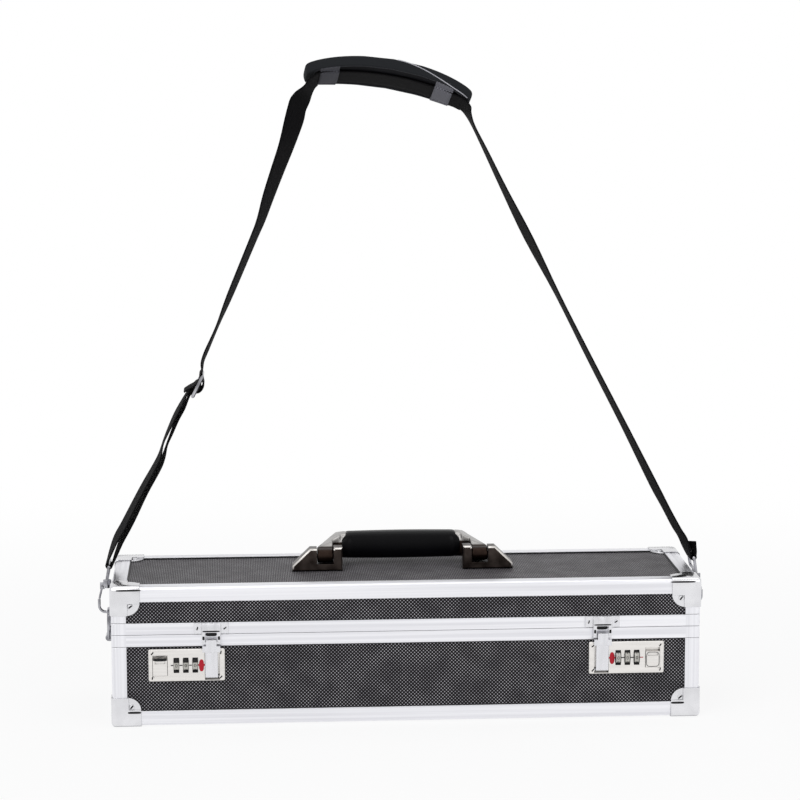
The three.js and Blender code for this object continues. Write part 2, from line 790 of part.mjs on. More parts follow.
// An arm turns on its bracket's pin and ends in a cuff round the grip's rounded end
function handleArm(side) {
  const sweep = Math.hypot(bracketHalfDepth, postTop - pivotHeight) + overcut;
  const backReach = Math.max(gripFront, sweep);
  const cuffOuter = gripHalfLength + fit + armEndWall;
  const cuffInner = gripHalfLength - gripRound;
  const under = pivotHeight - barrelRadius + recessClearance;
  const plan = [
    [gripHalfLength, backReach],
    [barrelInner, backReach],
    [barrelInner, 0],
    [barrelOuter, 0],
    [barrelOuter, sweep / 2],
    [cuffOuter + armEndWall, gripBack - armEndWall],
    [cuffOuter, gripBack],
    [gripHalfLength, gripBack],
  ];
  const fromSide = [
    [0, under],
    [bracketHalfDepth + overcut, under],
    [gripFront, armLow],
    [gripBack, armLow],
    [gripBack, lidFace + armRiseBack],
    [gripMiddleY, gripTop],
    [gripFront, lidFace + armRiseInner],
    [0, pivotHeight + barrelRadius - weld / 2],
  ];
  const fromFront = [
    [cuffInner, armLow - overcut],
    [barrelOuter, armLow - overcut],
    [barrelOuter, lidFace + armRiseOuter],
    [cuffOuter + armEndWall, lidFace + armRiseMiddle],
    [gripHalfLength, lidFace + armRiseInner],
    [cuffInner, gripTop],
  ];
  const cuff = skin([cuffInner, cuffOuter].map((x) => gripSection(side * x, gripBowShare, 0)));
  const barrelMiddle = [(side * (barrelInner + barrelOuter)) / 2, 0, pivotHeight];
  return prism(mirrored(side, plan), "z", armLow - overcut, gripTop)
    .intersect(prism(fromSide, "x", -beyond, beyond))
    .add(cuff)
    .intersect(prism(mirrored(side, fromFront), "y", -beyond, beyond))
    .add(cylinder("x", barrelRadius, barrelMiddle, barrelWidth, 24))
    .subtract(grip(fit))
    .subtract(cylinder("x", barrelBore, barrelMiddle, barrelWidth + 2 * overcut, 14));
}

// End rings, hooks and eyes: "out" is the distance beyond the ring's plane

function endPoint(side, out, y, z) {
  return new THREE.Vector3(side * (ringX + out), y, z);
}

function ringSaddle(side) {
  const seated = panelX + seat;
  const plateOuter = seated + saddlePlateWall;
  const plateZ = [ringBarHeight - saddlePlateBelow, ringBarHeight + saddlePlateAbove];
  const x = (from, to) => [side * from, side * to];
  const barMiddle = [side * ringX, 0, ringBarHeight];
  let made = box(x(seated, plateOuter), span(saddlePlateHalf), plateZ)
    .add(box(x(seated, ringX), span(saddleHalfLength), around(ringBarHeight, saddleRadius)))
    .add(cylinder("y", saddleRadius, barMiddle, 2 * saddleHalfLength, 16))
    .subtract(cylinder("y", ringWire + fit, barMiddle, 2 * saddleHalfLength + 2 * overcut, 12));
  for (const y of span(saddlePlateHalf - saddleScrewInset)) {
    const middle = [side * plateOuter, y, plateZ[0] + saddleScrewInset];
    made = made.add(cylinder("x", saddleScrewRadius, middle, 2 * weld, 10));
  }
  return made;
}

function endRing(side) {
  const foot = ringHalfWidth - ringCorner;
  const points = [
    ...arcPoints(0, ringTop - ringHalfWidth, ringHalfWidth, 0, 180, 12),
    ...arcPoints(-foot, ringBarHeight + ringCorner, ringCorner, 180, 270, 3),
    ...arcPoints(foot, ringBarHeight + ringCorner, ringCorner, 270, 360, 3),
  ].map(([y, z]) => endPoint(side, 0, y, z));
  return wire(points, new THREE.Vector3(1, 0, 0), ringWire, true);
}

// The hook's wire comes down inside the ring, turns under its top and up again to the tip
function snapHook(side) {
  const bend = ringWire + fit + hookWire;
  const route = [
    [-bend, collarHeight + collarLength / 2],
    ...arcPoints(0, ringTop, bend, 180, 270, 5),
    ...arcPoints(hookTipOut - hookTipBend, ringTop - bend + hookTipBend, hookTipBend, 270, 360, 6),
    [hookTipOut, hookTipHeight],
  ].map(([out, z]) => endPoint(side, out, 0, z));
  const collarMiddle = [side * (ringX + collarOut), 0, collarHeight + collarLength / 2];
  const pivotX = side * (ringX + gatePivotOut);
  const lugX = [pivotX - side * (lugHalfWidth + weld), pivotX + side * lugHalfWidth];
  const lugY = [gateRadius + fit, gateRadius + fit + lugWall];
  const axleRoom = cylinder("y", gateAxleRadius + fit, [pivotX, 0, gatePivotHeight], 2 * beyond, 12);
  const lug = box(lugX, lugY, [gatePivotHeight - lugHalfWidth, collarHeight + collarLength / 2]);
  return wire(route, new THREE.Vector3(0, 1, 0), hookWire)
    .add(cylinder("z", collarRadius, collarMiddle, collarLength, 16))
    .add(lug.subtract(axleRoom))
    .subtract(cylinder("z", stemRadius + fit, collarMiddle, collarLength + 2 * overcut, 12));
}

function hookGate(side) {
  const pivot = endPoint(side, gatePivotOut, 0, gatePivotHeight);
  const tip = endPoint(side, hookTipOut - gateTipIn, 0, hookTipHeight + gateTipGap);
  const axleLength = gateRadius + fit + lugWall;
  const axleMiddle = [pivot.x, axleLength / 2, pivot.z];
  return wire([pivot, tip], new THREE.Vector3(0, 1, 0), gateRadius)
    .add(cylinder("y", gateRadius + seat, pivot.toArray(), 2 * gateRadius, 12))
    .add(cylinder("y", gateAxleRadius, axleMiddle, axleLength, 10));
}

// How far out the eye's wire lies at a height: it leans in towards the strap
const eyeOut = (z) => collarOut - (z - collarHeight - collarLength) * Math.tan(eyeLean * degree);

function swivelEye(side) {
  const foot = eyeFootHalfWidth - eyeCorner;
  const shoulder = eyeHalfWidth - eyeCorner;
  const right = [
    ...arcPoints(foot, eyeLow + eyeCorner, eyeCorner, 270, 330, 3),
    ...arcPoints(shoulder, eyeHigh - eyeCorner, eyeCorner, -20, 90, 4),
  ];
  const left = [...right].reverse().map(([y, z]) => [-y, z]);
  const points = [...right, ...left].map(([y, z]) => endPoint(side, eyeOut(z), y, z));
  const normal = new THREE.Vector3(Math.cos(eyeLean * degree), 0, side * Math.sin(eyeLean * degree));
  const stemLow = collarHeight - fit - stemHeadLength;
  const stemX = side * (ringX + collarOut);
  const stemMiddle = [stemX, 0, (eyeLow + stemLow) / 2];
  const headMiddle = [stemX, 0, stemLow + stemHeadLength / 2];
  return wire(points, normal, eyeWire, true)
    .add(cylinder("z", stemRadius, stemMiddle, eyeLow - stemLow, 12))
    .add(cylinder("z", stemHeadRadius, headMiddle, stemHeadLength, 12));
}

// Strap

// Flat webbing through stations of middle point and width direction
function ribbon(stations) {
  const rings = stations.map(({ point, across }, i) => {
    const before = stations[Math.max(i - 1, 0)].point;
    const after = stations[Math.min(i + 1, stations.length - 1)].point;
    const normal = after.clone().sub(before).cross(across).normalize();
    return [[1, 1], [-1, 1], [-1, -1], [1, -1]].map(([w, t]) =>
      point.clone()
        .addScaledVector(across, (w * webWidth) / 2)
        .addScaledVector(normal, (t * webWall) / 2));
  });
  return skin(rings);
}

const flat = (x, z) => ({ point: new THREE.Vector3(x, 0, z), across: new THREE.Vector3(0, 1, 0) });

// The webbing's turn round an eye's top bar, from the outer side to the inner side
function eyeTurn(side) {
  const radius = eyeWire + fit + webWall / 2;
  return arcPoints(0, 0, radius, strapLean, strapLean - 180, 7)
    .map(([out, up]) => flat(side * (ringX + eyeOut(eyeHigh) + out), eyeHigh + up));
}

// The strap's points were chosen with the eyes, the pad and the adjuster's bars at these places
const drawn = { eyeX: 241, eyeZ: 120.8, padX: -9.4, padZ: 516.7, padRadius: 210, barPitch: 9 };

// A chosen point follows the eye at the strap's foot and the pad at its top, in shares by height
function fromDrawn(x, z) {
  const share = Math.min(1, Math.max(0, (drawn.padZ - z) / (drawn.padZ - drawn.eyeZ)));
  const wide = (share * ringX) / drawn.eyeX + ((1 - share) * padRadius) / drawn.padRadius;
  const aside = (1 - share) * (padMiddleX - (drawn.padX * padRadius) / drawn.padRadius);
  const tall = (padMiddleZ - eyeHigh) / (drawn.padZ - drawn.eyeZ);
  return new THREE.Vector3(x * wide + aside, 0, eyeHigh + (z - drawn.eyeZ) * tall);
}

const adjusterMiddle = fromDrawn(-165.8, 267.5);
const leaning = adjusterLean * degree;
const adjusterAlong = new THREE.Vector3(Math.sin(leaning), 0, Math.cos(leaning));
const adjusterOut = new THREE.Vector3(-adjusterAlong.z, 0, adjusterAlong.x);

function byAdjuster(along, out) {
  const point = adjusterMiddle.clone()
    .addScaledVector(adjusterAlong, along)
    .addScaledVector(adjusterOut, out);
  return flat(point.x, point.z);
}

function adjuster() {
  const bars = [-1, 0, 1].map((step) => {
    const { point } = byAdjuster(step * adjusterBarPitch, 0);
    return cylinder("y", adjusterBarRadius, [point.x, 0, point.z], 2 * adjusterHalfWidth, 12);
  });
  const ends = span(adjusterHalfWidth).map((y) => {
    const from = byAdjuster(-adjusterBarPitch, 0).point.setY(y);
    const to = byAdjuster(adjusterBarPitch, 0).point.setY(y);
    return wire([from, to], new THREE.Vector3(0, 1, 0), adjusterSideRadius);
  });
  return [...bars, ...ends].reduce((whole, piece) => whole.add(piece));
}

const padAlong = new THREE.Vector3(Math.cos(padSlope * degree), 0, Math.sin(padSlope * degree));
const padUp = new THREE.Vector3(-padAlong.z, 0, padAlong.x);

// The pad's frame at a share of its half length: middle, direction across and direction up.
// Its front edge is raised, a little more at the left end than at the right.
function padStation(share) {
  const angle = share * padHalfAngle * degree;
  const middle = new THREE.Vector3(padMiddleX, 0, padMiddleZ)
    .addScaledVector(padAlong, padRadius * Math.sin(angle))
    .addScaledVector(padUp, padRadius * (Math.cos(angle) - 1));
  const along = padAlong.clone()
    .multiplyScalar(Math.cos(angle))
    .addScaledVector(padUp, -Math.sin(angle));
  const tilt = (padTilt - padTwist * share) * degree;
  const across = new THREE.Vector3(0, -Math.cos(tilt), 0).addScaledVector(padUp, Math.sin(tilt));
  const top = across.clone().cross(along).normalize();
  return { middle, across, top };
}

// The pad: crowned above, nearly flat below, with a blunt rim, and narrower at its ends
function shoulderPad() {
  const steps = 22;
  const sides = 8;
  const rings = [];
  for (let i = 0; i <= steps; i++) {
    const share = -1 + (2 * i) / steps;
    const { middle, across, top } = padStation(share);
    const fullness = Math.sqrt(1 - padEndShare * Math.abs(share) ** padEndPower);
    const half = padEndHalfWidth + (padHalfWidth - padEndHalfWidth) * (1 - share ** 2);
    const section = [];
    for (const [face, bulge] of [[1, padCrown], [-1, padBelly]]) {
      for (let k = 0; k < sides; k++) {
        const even = 1 - (2 * (k + 0.5)) / sides;
        const place = Math.min(1, Math.max(-1, even * (1 + padRimShare)));
        const rim = (padRim / 2) * (Math.abs(place) === 1 ? padEdgeShare : 1);
        const height = rim + bulge * (1 - place ** 2) * fullness;
        section.push(middle.clone()
          .addScaledVector(across, face * place * half)
          .addScaledVector(top, face * height));
      }
    }
    rings.push(section);
  }
  return skin(rings);
}

// Where the webbing runs under the pad
function underPad(share) {
  const { middle, across, top } = padStation(share);
  const drop = padRim / 2 + padBelly + fit + webWall / 2;
  return { point: middle.clone().addScaledVector(top, -drop), across: across.clone().negate() };
}

// A strap leg through chosen points: its middle line in X and Z and the webbing's turn in degrees
function leg(points) {
  const places = points.map(([x, z]) => fromDrawn(x, z));
  return points.map(([, , turn = 0], i) => {
    const before = places[Math.max(i - 1, 0)];
    const after = places[Math.min(i + 1, places.length - 1)];
    const along = after.clone().sub(before).normalize();
    const across = new THREE.Vector3(0, 1, 0).applyAxisAngle(along, turn * degree);
    return { point: places[i], across };
  });
}

// The whole strap, from its sewn end at the right eye to its sewn end on the adjuster
function webbing() {
  const rightTail = leg([[238.8, 133.5, -11], [240.2, 129, -6], [241.2, 125, -2]]);
  const rightLeg = leg([
    [234.8, 127], [231.6, 135.5], [226.8, 144], [218.3, 160], [207.1, 180], [183.2, 229.1],
    [154.5, 283.9], [128, 337], [104, 384.5], [84, 424], [68, 456], [58.3, 475],
    [53.6, 484.8, 5], [51.4, 489.6, 12],
  ]);
  const padRun = Array.from({ length: padRunSteps + 1 }, (_, k) =>
    underPad(padRunStart + ((padRunEnd - padRunStart) * k) / padRunSteps));
  const leftUpper = leg([
    [-69.9, 511, 22], [-72.2, 508.7, 22], [-73.9, 506, 22], [-76.2, 502.8, 27],
    [-79.2, 498.8, 36], [-82, 494.4, 40], [-84, 489, 36], [-86.2, 480, 32],
    [-92.2, 460, 24], [-99, 440, 18], [-106, 420, 14], [-112.6, 400, 8], [-120, 384.5, 3],
    [-139, 340], [-149.6, 315], [-158.3, 294.6], [-161.4, 285.5],
  ]);
  const threaded = (points) => {
    const grown = adjusterBarPitch / drawn.barPitch;
    return points.map(([along, out]) => byAdjuster(along * grown, out * grown));
  };
  const through = threaded([
    [12, 1.9], [9.4, 2.3], [7.3, 1.5], [6, -0.6], [4.3, -2.9], [2.2, -4], [0, -4.3],
    [-2.2, -4], [-4.3, -2.9], [-6, -0.6], [-7.3, 1.5], [-9.4, 2.3], [-13, 2.2],
  ]);
  const leftInner = leg([
    [-176.9, 249], [-182, 240], [-187, 229], [-191, 219.5], [-193.9, 209.5, 2], [-197.2, 200, 5],
    [-208.2, 180, 8], [-219.6, 160, 3], [-226, 149.5], [-230.4, 140], [-233.6, 130],
  ]);
  const leftOuter = leg([
    [-238.4, 130.5], [-235.2, 140.5], [-230, 150.5], [-223.8, 162, -3], [-212.6, 182.5, -8],
    [-201.4, 202, -5], [-197.2, 210.5, -2], [-194.3, 220.5], [-190, 230.5], [-185, 241.5],
    [-180, 251],
  ]);
  const sewnEnd = threaded([
    [-12.5, 4.7], [-9.4, 4.25], [-6.6, 3.1], [-5.4, 1.9], [-4.2, 0.3], [-3, -1.2], [-1.3, -2],
    [0.4, -2.1], [1.7, -1.3], [2.15, 0], [1.7, 1.3], [0.4, 2.1], [-1.2, 2.6], [-3.2, 3.9],
    [-6.2, 5.9], [-9.3, 7.6],
  ]);
  return ribbon([
    ...rightTail,
    ...eyeTurn(1),
    ...rightLeg,
    ...padRun,
    ...leftUpper,
    ...through,
    ...leftInner,
    ...eyeTurn(-1).reverse(),
    ...leftOuter,
    ...sewnEnd,
  ]);
}

// Assembly

const knifeCase = new THREE.Group();
const add = (name, solid, material) => knifeCase.add(meshOf(name, solid, material));

const basePanels = panels(floorTop + fit, baseBandHigh - railWall - fit, false);
basePanels.front = basePanels.front.subtract(lockCutout(-1)).subtract(lockCutout(1));
add("base_bottom_panel", basePanels.flat, panelFinish());
add("base_front_panel", basePanels.front, panelFinish());
add("base_back_panel", basePanels.back, panelFinish());
add("base_left_panel", basePanels.left, panelFinish());
add("base_right_panel", basePanels.right, panelFinish());
add("base_bottom_frame", frameRails(railLow, baseBandLow - fit, false), railFinish());
add("base_band_rail", baseBand(), railFinish());
add("base_foam_tub", foamTub(), foamFinish());

const lidPanels = panels(lidWebTop + fit, ceiling - fit, true);
const lidFoam = box(
  span(liningX - foamClearance),
  span(liningY - foamClearance),
  [seamHeight + lidFoamLift, ceiling - fit],
);
add("lid_top_panel", lidPanels.flat, panelFinish());
add("lid_front_panel", lidPanels.front, panelFinish());
add("lid_back_panel", lidPanels.back, panelFinish());
add("lid_left_panel", lidPanels.left, panelFinish());
add("lid_right_panel", lidPanels.right, panelFinish());
add("lid_top_frame", frameRails(lidBandHigh + fit, railHigh, true), railFinish());
add("lid_band_rail", lidBand(), railFinish());
add("lid_foam_pad", lidFoam, foamFinish());

for (const [level, sz] of [["base", -1], ["lid", 1]]) {
  for (const [depth, sy] of [["front", -1], ["back", 1]]) {
    for (const [end, sx] of [["left", -1], ["right", 1]]) {
      add(`${level}_cap_${depth}_${end}`, cornerCap(sx, sy, sz), capFinish());
    }
  }
}

add("hinge_leaf_base", hingeLeaf(false), railFinish());
add("hinge_leaf_lid", hingeLeaf(true), railFinish());
const hingePin = cylinder("x", hingePinRadius, [0, hingeY, seamHeight], hingeLength, 12);
add("hinge_pin", hingePin, chromeFinish());

for (const [end, side] of [["left", -1], ["right", 1]]) {
  add(`lock_plate_${end}`, lockPlate(side), lockFinish());
  add(`lock_button_${end}`, button(side), lockFinish());
  for (let k = 0; k < dialCount; k++) add(`lock_dial_${end}_${k + 1}`, dial(side, k), dialFinish());
  const haspMount = new THREE.Group();
  haspMount.position.set(haspX(side), ...haspPivot);
  haspMount.rotation.x = haspOpenRest * degree;
  haspMount.add(meshOf(`lock_hasp_${end}`, hasp(), lockFinish()));
  knifeCase.add(haspMount);
  add(`lock_keeper_${end}`, keeper(side), lockFinish());
  add(`handle_bracket_${end}`, handleBracket(side), gunmetalFinish());
  add(`handle_arm_${end}`, handleArm(side), gunmetalFinish());
  add(`ring_saddle_${end}`, ringSaddle(side), chromeFinish());
  add(`end_ring_${end}`, endRing(side), chromeFinish());
  add(`snap_hook_${end}`, snapHook(side), chromeFinish());
  add(`hook_gate_${end}`, hookGate(side), chromeFinish());
  add(`swivel_eye_${end}`, swivelEye(side), chromeFinish());
}

add("handle_grip", grip(), gripFinish());
add("strap_adjuster", adjuster(), chromeFinish());
add("strap_webbing", webbing(), webFinish());
add("shoulder_pad", shoulderPad(), webFinish());

export default knifeCase;
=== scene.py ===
# %% [markdown]
# A hard knife case with a shoulder strap
#
# The solids of this case come from a CAD model, each in its real place. This lesson dresses them. Hard
# parts keep their CAD meshes and get a finish. The strap, its pad, the foam, the grip and the handle's
# cast arms are made again as smoother shapes, each in the place of its solid. Small pieces are added:
# slots, gaps, marks, figures, cords and stitches. Many of the black ones are painted shade, and two
# pale cords are painted light.

# %% The imported model
import math

import bmesh
import bpy
import numpy as np
from mathutils import Matrix, Vector


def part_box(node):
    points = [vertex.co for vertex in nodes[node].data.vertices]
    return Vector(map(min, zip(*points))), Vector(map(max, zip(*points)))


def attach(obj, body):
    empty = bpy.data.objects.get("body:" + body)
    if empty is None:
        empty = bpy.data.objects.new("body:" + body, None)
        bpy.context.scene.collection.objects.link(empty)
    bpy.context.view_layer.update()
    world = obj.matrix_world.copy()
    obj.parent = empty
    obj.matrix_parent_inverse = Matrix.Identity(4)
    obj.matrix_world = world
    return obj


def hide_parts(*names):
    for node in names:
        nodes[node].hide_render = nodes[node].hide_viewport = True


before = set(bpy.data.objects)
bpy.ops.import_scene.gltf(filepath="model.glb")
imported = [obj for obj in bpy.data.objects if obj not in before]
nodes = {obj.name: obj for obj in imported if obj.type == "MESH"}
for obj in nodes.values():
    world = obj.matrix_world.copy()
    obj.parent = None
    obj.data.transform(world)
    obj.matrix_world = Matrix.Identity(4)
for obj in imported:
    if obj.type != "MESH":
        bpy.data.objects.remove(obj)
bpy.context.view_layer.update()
MM = 0.001
ENDS = {"left": -1, "right": 1}

# %% [markdown]
# The camera stands where the photographer stood: a little to the left, half a metre up and two metres
# off, looking slightly down. Its long lens keeps the case's far end almost as big as its near end. The
# camera is rolled about its line of sight, pitched up from looking straight down, and turned about the
# vertical.

# %% Camera
CAMERA_PLACE = np.array([-137.6, -2136.1, 566.0])
CAMERA_YAW, CAMERA_PITCH, CAMERA_ROLL = np.radians([3.642, 8.326, -0.128])
LENS_MM, SENSOR_MM, VIEW_END = 119.4, 36, 100


def linked(name, data):
    """A new object in the scene that shows the given data."""
    item = bpy.data.objects.new(name, data)
    bpy.context.scene.collection.objects.link(item)
    return item


camera = linked("Camera", bpy.data.cameras.new("Camera"))
camera.data.lens = LENS_MM
camera.data.sensor_width = SENSOR_MM
camera.data.clip_end = VIEW_END
camera.matrix_world = (
    Matrix.Translation(CAMERA_PLACE * MM) @ Matrix.Rotation(-CAMERA_YAW, 4, "Z")
    @ Matrix.Rotation(math.pi / 2 - CAMERA_PITCH, 4, "X") @ Matrix.Rotation(CAMERA_ROLL, 4, "Z"))
bpy.context.scene.camera = camera
bpy.context.scene.view_settings.view_transform = "Standard"
print("camera at", tuple(round(v, 3) for v in camera.location))

# %% [markdown]
# Every shape is a grid of points in millimetres: rows along the piece, columns round it. The last
# column repeats the first, and an end row may shrink to one point, so that merging the doubles closes
# the skin. One function turns such grids into a finished piece that rides on its body.

# %% Surfaces from grids of points
MERGE_WITHIN = 1e-6


def grid_faces(rows, columns):
    """Each point with its neighbours in the next column and the next row."""
    first = (np.arange(rows - 1)[:, None] * columns + np.arange(columns - 1)[None, :]).ravel()
    return np.stack([first, first + 1, first + columns + 1, first + columns], axis=1)


def mesh_of(name, points, faces, finish):
    """A mesh with one finish, from points in millimetres."""
    mesh = bpy.data.meshes.new(name)
    mesh.from_pydata((points * MM).tolist(), [], faces)
    mesh.materials.append(finish)
    return mesh


def merge(mesh, then):
    """Merges points that lie together, then runs one more step on the mesh."""
    work = bmesh.new()
    work.from_mesh(mesh)
    bmesh.ops.remove_doubles(work, verts=work.verts, dist=MERGE_WITHIN)
    then(work)
    work.to_mesh(mesh)
    work.free()


def surface(name, grids, finish, body, uvs=None, banded=None):
    """One piece from one or more grids: stacked, merged at the seams, with normals turned out.

    banded is a second finish with the faces that take it.
    """
    points, faces, count = [], [], 0
    for grid in grids:
        rows, columns = grid.shape[:2]
        points.append(grid.reshape(-1, 3))
        faces.append(grid_faces(rows, columns) + count)
        count += rows * columns
    mesh = mesh_of(name, np.vstack(points), np.vstack(faces).tolist(), finish)
    if uvs is not None:
        table = np.vstack([uv.reshape(-1, 2) for uv in uvs]) * MM
        corner = np.zeros(len(mesh.loops), np.int32)
        mesh.loops.foreach_get("vertex_index", corner)
        layer = mesh.uv_layers.new(name="along")
        layer.data.foreach_set("uv", table[corner].ravel().astype(np.float32))
    if banded is not None:
        mesh.materials.append(banded[0])
        mesh.polygons.foreach_set("material_index", banded[1].astype(np.int32))
    merge(mesh, lambda work: bmesh.ops.recalc_face_normals(work, faces=work.faces))
    mesh.polygons.foreach_set("use_smooth", np.ones(len(mesh.polygons), bool))
    piece = linked(name, mesh)
    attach(piece, body)
    print(name, len(mesh.polygons), "faces on", body)
    return piece


# %% [markdown]
# Most shapes start from a curve: a smooth line through points, an arc, or a squarish oval. The oval is
# cosine and sine with their signs kept, each raised to a power: the lower it is, the squarer the loop.
# A round wire is a row of circles across such a curve.

# %% Curves and wires
ROUND_END = np.radians([90, 60, 30])


def unit(vectors):
    """Each vector divided by its own length."""
    return vectors / np.linalg.norm(vectors, axis=-1, keepdims=True)


def stacked(*parts):
    """Points from arrays of x, y and z, or from numbers that all points share."""
    return np.stack(np.broadcast_arrays(*parts), axis=-1)


def flowing(points, steps):
    """A Catmull-Rom curve: between two points, a cubic blend of the four nearest ones."""
    padded = np.vstack([2 * points[0] - points[1], points, 2 * points[-1] - points[-2]])
    t = np.arange(steps)[None, :, None] / steps
    a, b, c, d = (padded[i:len(points) - 1 + i, None, :] for i in range(4))
    curve = (2 * b + (c - a) * t + (2 * a - 5 * b + 4 * c - d) * t**2
             + (3 * b - a - 3 * c + d) * t**3) / 2
    return np.vstack([curve.reshape(-1, points.shape[1]), points[-1:]])


def arc(middle, radius, start, stop, steps):
    """Points of a circle in a plane, from a start angle to a stop angle in degrees."""
    angle = np.radians(np.linspace(start, stop, steps + 1))
    return middle + radius * stacked(np.cos(angle), np.sin(angle))


def oval(count, power):
    """Across and up of a closed loop of count steps, which reaches one each way."""
    angle = np.linspace(0, 2 * np.pi, count + 1)
    return [np.sign(w) * np.abs(w) ** power for w in (np.cos(angle), np.sin(angle))]


def run_along(points):
    """How far along the path each of its points lies."""
    return np.concatenate([[0], np.linalg.norm(np.diff(points, axis=0), axis=1).cumsum()])


def rim_of(grid):
    """The points on a grid's four sides in order, back to the first."""
    return np.vstack([grid[:, 0], grid[-1, 1:], grid[-2::-1, -1], grid[0, -2::-1]])


def tube(path, radius, upright, sides, closed=False):
    """Circles across the path. Open ends are closed by a quarter-round of circles."""
    radii = np.full(len(path), radius)
    if closed:
        tangent = unit(np.roll(path, -1, axis=0) - np.roll(path, 1, axis=0))
        path, radii, tangent = (np.concatenate([v, v[:1]]) for v in (path, radii, tangent))
    else:
        tangent = unit(np.gradient(path, axis=0))
        reach = radius * np.sin(ROUND_END)[:, None]
        small = radius * np.cos(ROUND_END)
        path = np.vstack([path[0] - tangent[0] * reach, path, path[-1] + tangent[-1] * reach[::-1]])
        radii = np.concatenate([small, radii, small[::-1]])
        tangent = np.vstack([tangent[[0] * len(small)], tangent, tangent[[-1] * len(small)]])
    side = unit(np.cross(tangent, upright))
    up = np.cross(side, tangent)
    angle = np.linspace(0, 2 * np.pi, sides + 1)[None, :, None]
    return path[:, None] + radii[:, None, None] * (
        np.cos(angle) * side[:, None] + np.sin(angle) * up[:, None])


# %% [markdown]
# Colours are written as they look on a screen and turned to the linear light that the renderer adds up.
# Small helpers add shader nodes, so that a finish reads as a list of what it is made of. Lengths in a
# finish, such as the radius of an edge, are in millimetres.

# %% Finish helpers
DRIFT, WIDE_DRIFT = (0.3, 0.7), (0.25, 0.75)
NOISE_DETAIL, EDGE_SAMPLES = 3.0, 4


def tone(code):
    """sRGB hex to linear light: the sRGB curve undone, and alpha 1."""
    channels = np.array([int(code[i:i + 2], 16) for i in (1, 3, 5)]) / 255
    linear = np.where(channels <= 0.04045, channels / 12.92, ((channels + 0.055) / 1.055) ** 2.4)
    return (*linear.tolist(), 1.0)


def add(tree, kind, sockets=(), **settings):
    """Adds a node, sets its properties, and fills or links each input."""
    node = tree.nodes.new("ShaderNode" + kind)
    for name, value in settings.items():
        setattr(node, name, value)
    for socket, value in dict(sockets).items():
        if isinstance(value, bpy.types.NodeSocket):
            tree.links.new(value, node.inputs[socket])
        else:
            node.inputs[socket].default_value = value
    return node


def socket_of(shader, word):
    """The input that a keyword means: gloss is the specular level."""
    return shader.inputs["Specular IOR Level" if word == "gloss" else word.replace("_", " ").title()]


def new_finish(name, **values):
    """A material with one Principled shader, whose plain values are keywords."""
    finish = bpy.data.materials.new(name)
    finish.use_nodes = True
    shader = finish.node_tree.nodes["Principled BSDF"]
    for word, value in values.items():
        socket_of(shader, word).default_value = value
    return finish, finish.node_tree, shader


def drive(tree, shader, **outputs):
    """Links outputs to the shader's inputs that the keywords mean."""
    for word, output in outputs.items():
        tree.links.new(output, socket_of(shader, word))


def combined(tree, operation, *values, kind="Math"):
    """One operation on numbers, or with the kind VectorMath on vectors."""
    return add(tree, kind, dict(enumerate(values)), operation=operation).outputs[0]


def length_of(tree, vector):
    """How long a vector is."""
    return add(tree, "VectorMath", {0: vector}, operation="LENGTH").outputs["Value"]


def coordinates(tree, kind="Object"):
    """Where a point lies on its object, in metres, or its normal."""
    return add(tree, "TexCoord").outputs[kind]


def axes_of(tree, vector):
    """The X, Y and Z of a vector."""
    return add(tree, "SeparateXYZ", {"Vector": vector}).outputs


def noise(tree, scale):
    """Noise with its own scale a metre along each axis."""
    mapped = add(tree, "Mapping", {"Vector": coordinates(tree), "Scale": scale}).outputs[0]
    sockets = {"Vector": mapped, "Scale": 1.0, "Detail": NOISE_DETAIL}
    return add(tree, "TexNoise", sockets).outputs["Fac"]


def between(tree, factor, low, high):
    """A colour that goes from low to high with the factor."""
    mix = add(tree, "Mix", {"Factor": factor, "A": low, "B": high}, data_type="RGBA")
    return mix.outputs["Result"]


def blend(tree, factor, low, high):
    """A number that goes from low to high with the factor."""
    return add(tree, "Mix", {"Factor": factor, 2: low, 3: high}).outputs[0]


def eased(tree, value, low, high, to_low=0.0, to_high=1.0):
    """A value mapped smoothly from one range to another."""
    sockets = {"Value": value, "From Min": low, "From Max": high, "To Min": to_low, "To Max": to_high}
    return add(tree, "MapRange", sockets, interpolation_type="SMOOTHSTEP").outputs["Result"]


def drift(tree, cloud, dark, light, spread=DRIFT):
    """A colour that wanders between two tones with a noise."""
    return between(tree, eased(tree, cloud, *spread), tone(dark), tone(light))


def relief(tree, height, strength, depth, **under):
    """A normal that follows a height, on top of another where one is given."""
    sockets = {"Height": height, "Strength": strength, "Distance": depth * MM, **under}
    return add(tree, "Bump", sockets).outputs["Normal"]


def soft_edges(tree, radius):
    """A normal that is rounded along sharp edges."""
    return add(tree, "Bevel", {"Radius": radius * MM}, samples=EDGE_SAMPLES).outputs["Normal"]


# %% [markdown]
# A studio for pale metal is mostly white: the rails only look bright because they mirror bright walls.
# So the world is white to the camera and in reflections, and dimmer as a source of light, where three
# large soft lamps take over.

# %% World and lamps
WHITE = (1, 1, 1, 1)
WORLD_FILL, WORLD_GLOSS = 0.5, 0.86
# Each lamp has its place, the height over the middle that it looks at, its size and its power
LAMPS = {"key": ((-1.8, -2.4, 2.2), 0.15, 2.6, 38), "fill": ((2.2, -2.2, 1.4), 0.15, 2.4, 16),
         "top": ((0.2, 0.2, 2.6), 0.1, 2.2, 14)}


def studio_world():
    """White to the camera and through glass, a little less in reflections, and dimmer as light."""
    world = bpy.data.worlds.new("studio")
    bpy.context.scene.world = world
    world.use_nodes = True
    tree = world.node_tree
    path = add(tree, "LightPath").outputs
    seen = combined(tree, "MAXIMUM", path["Is Camera Ray"], path["Is Transmission Ray"])
    light = eased(tree, path["Is Glossy Ray"], 0.0, 1.0, WORLD_FILL, WORLD_GLOSS)
    background = tree.nodes["Background"].inputs
    tree.links.new(blend(tree, seen, light, 1.0), background["Strength"])
    background["Color"].default_value = WHITE


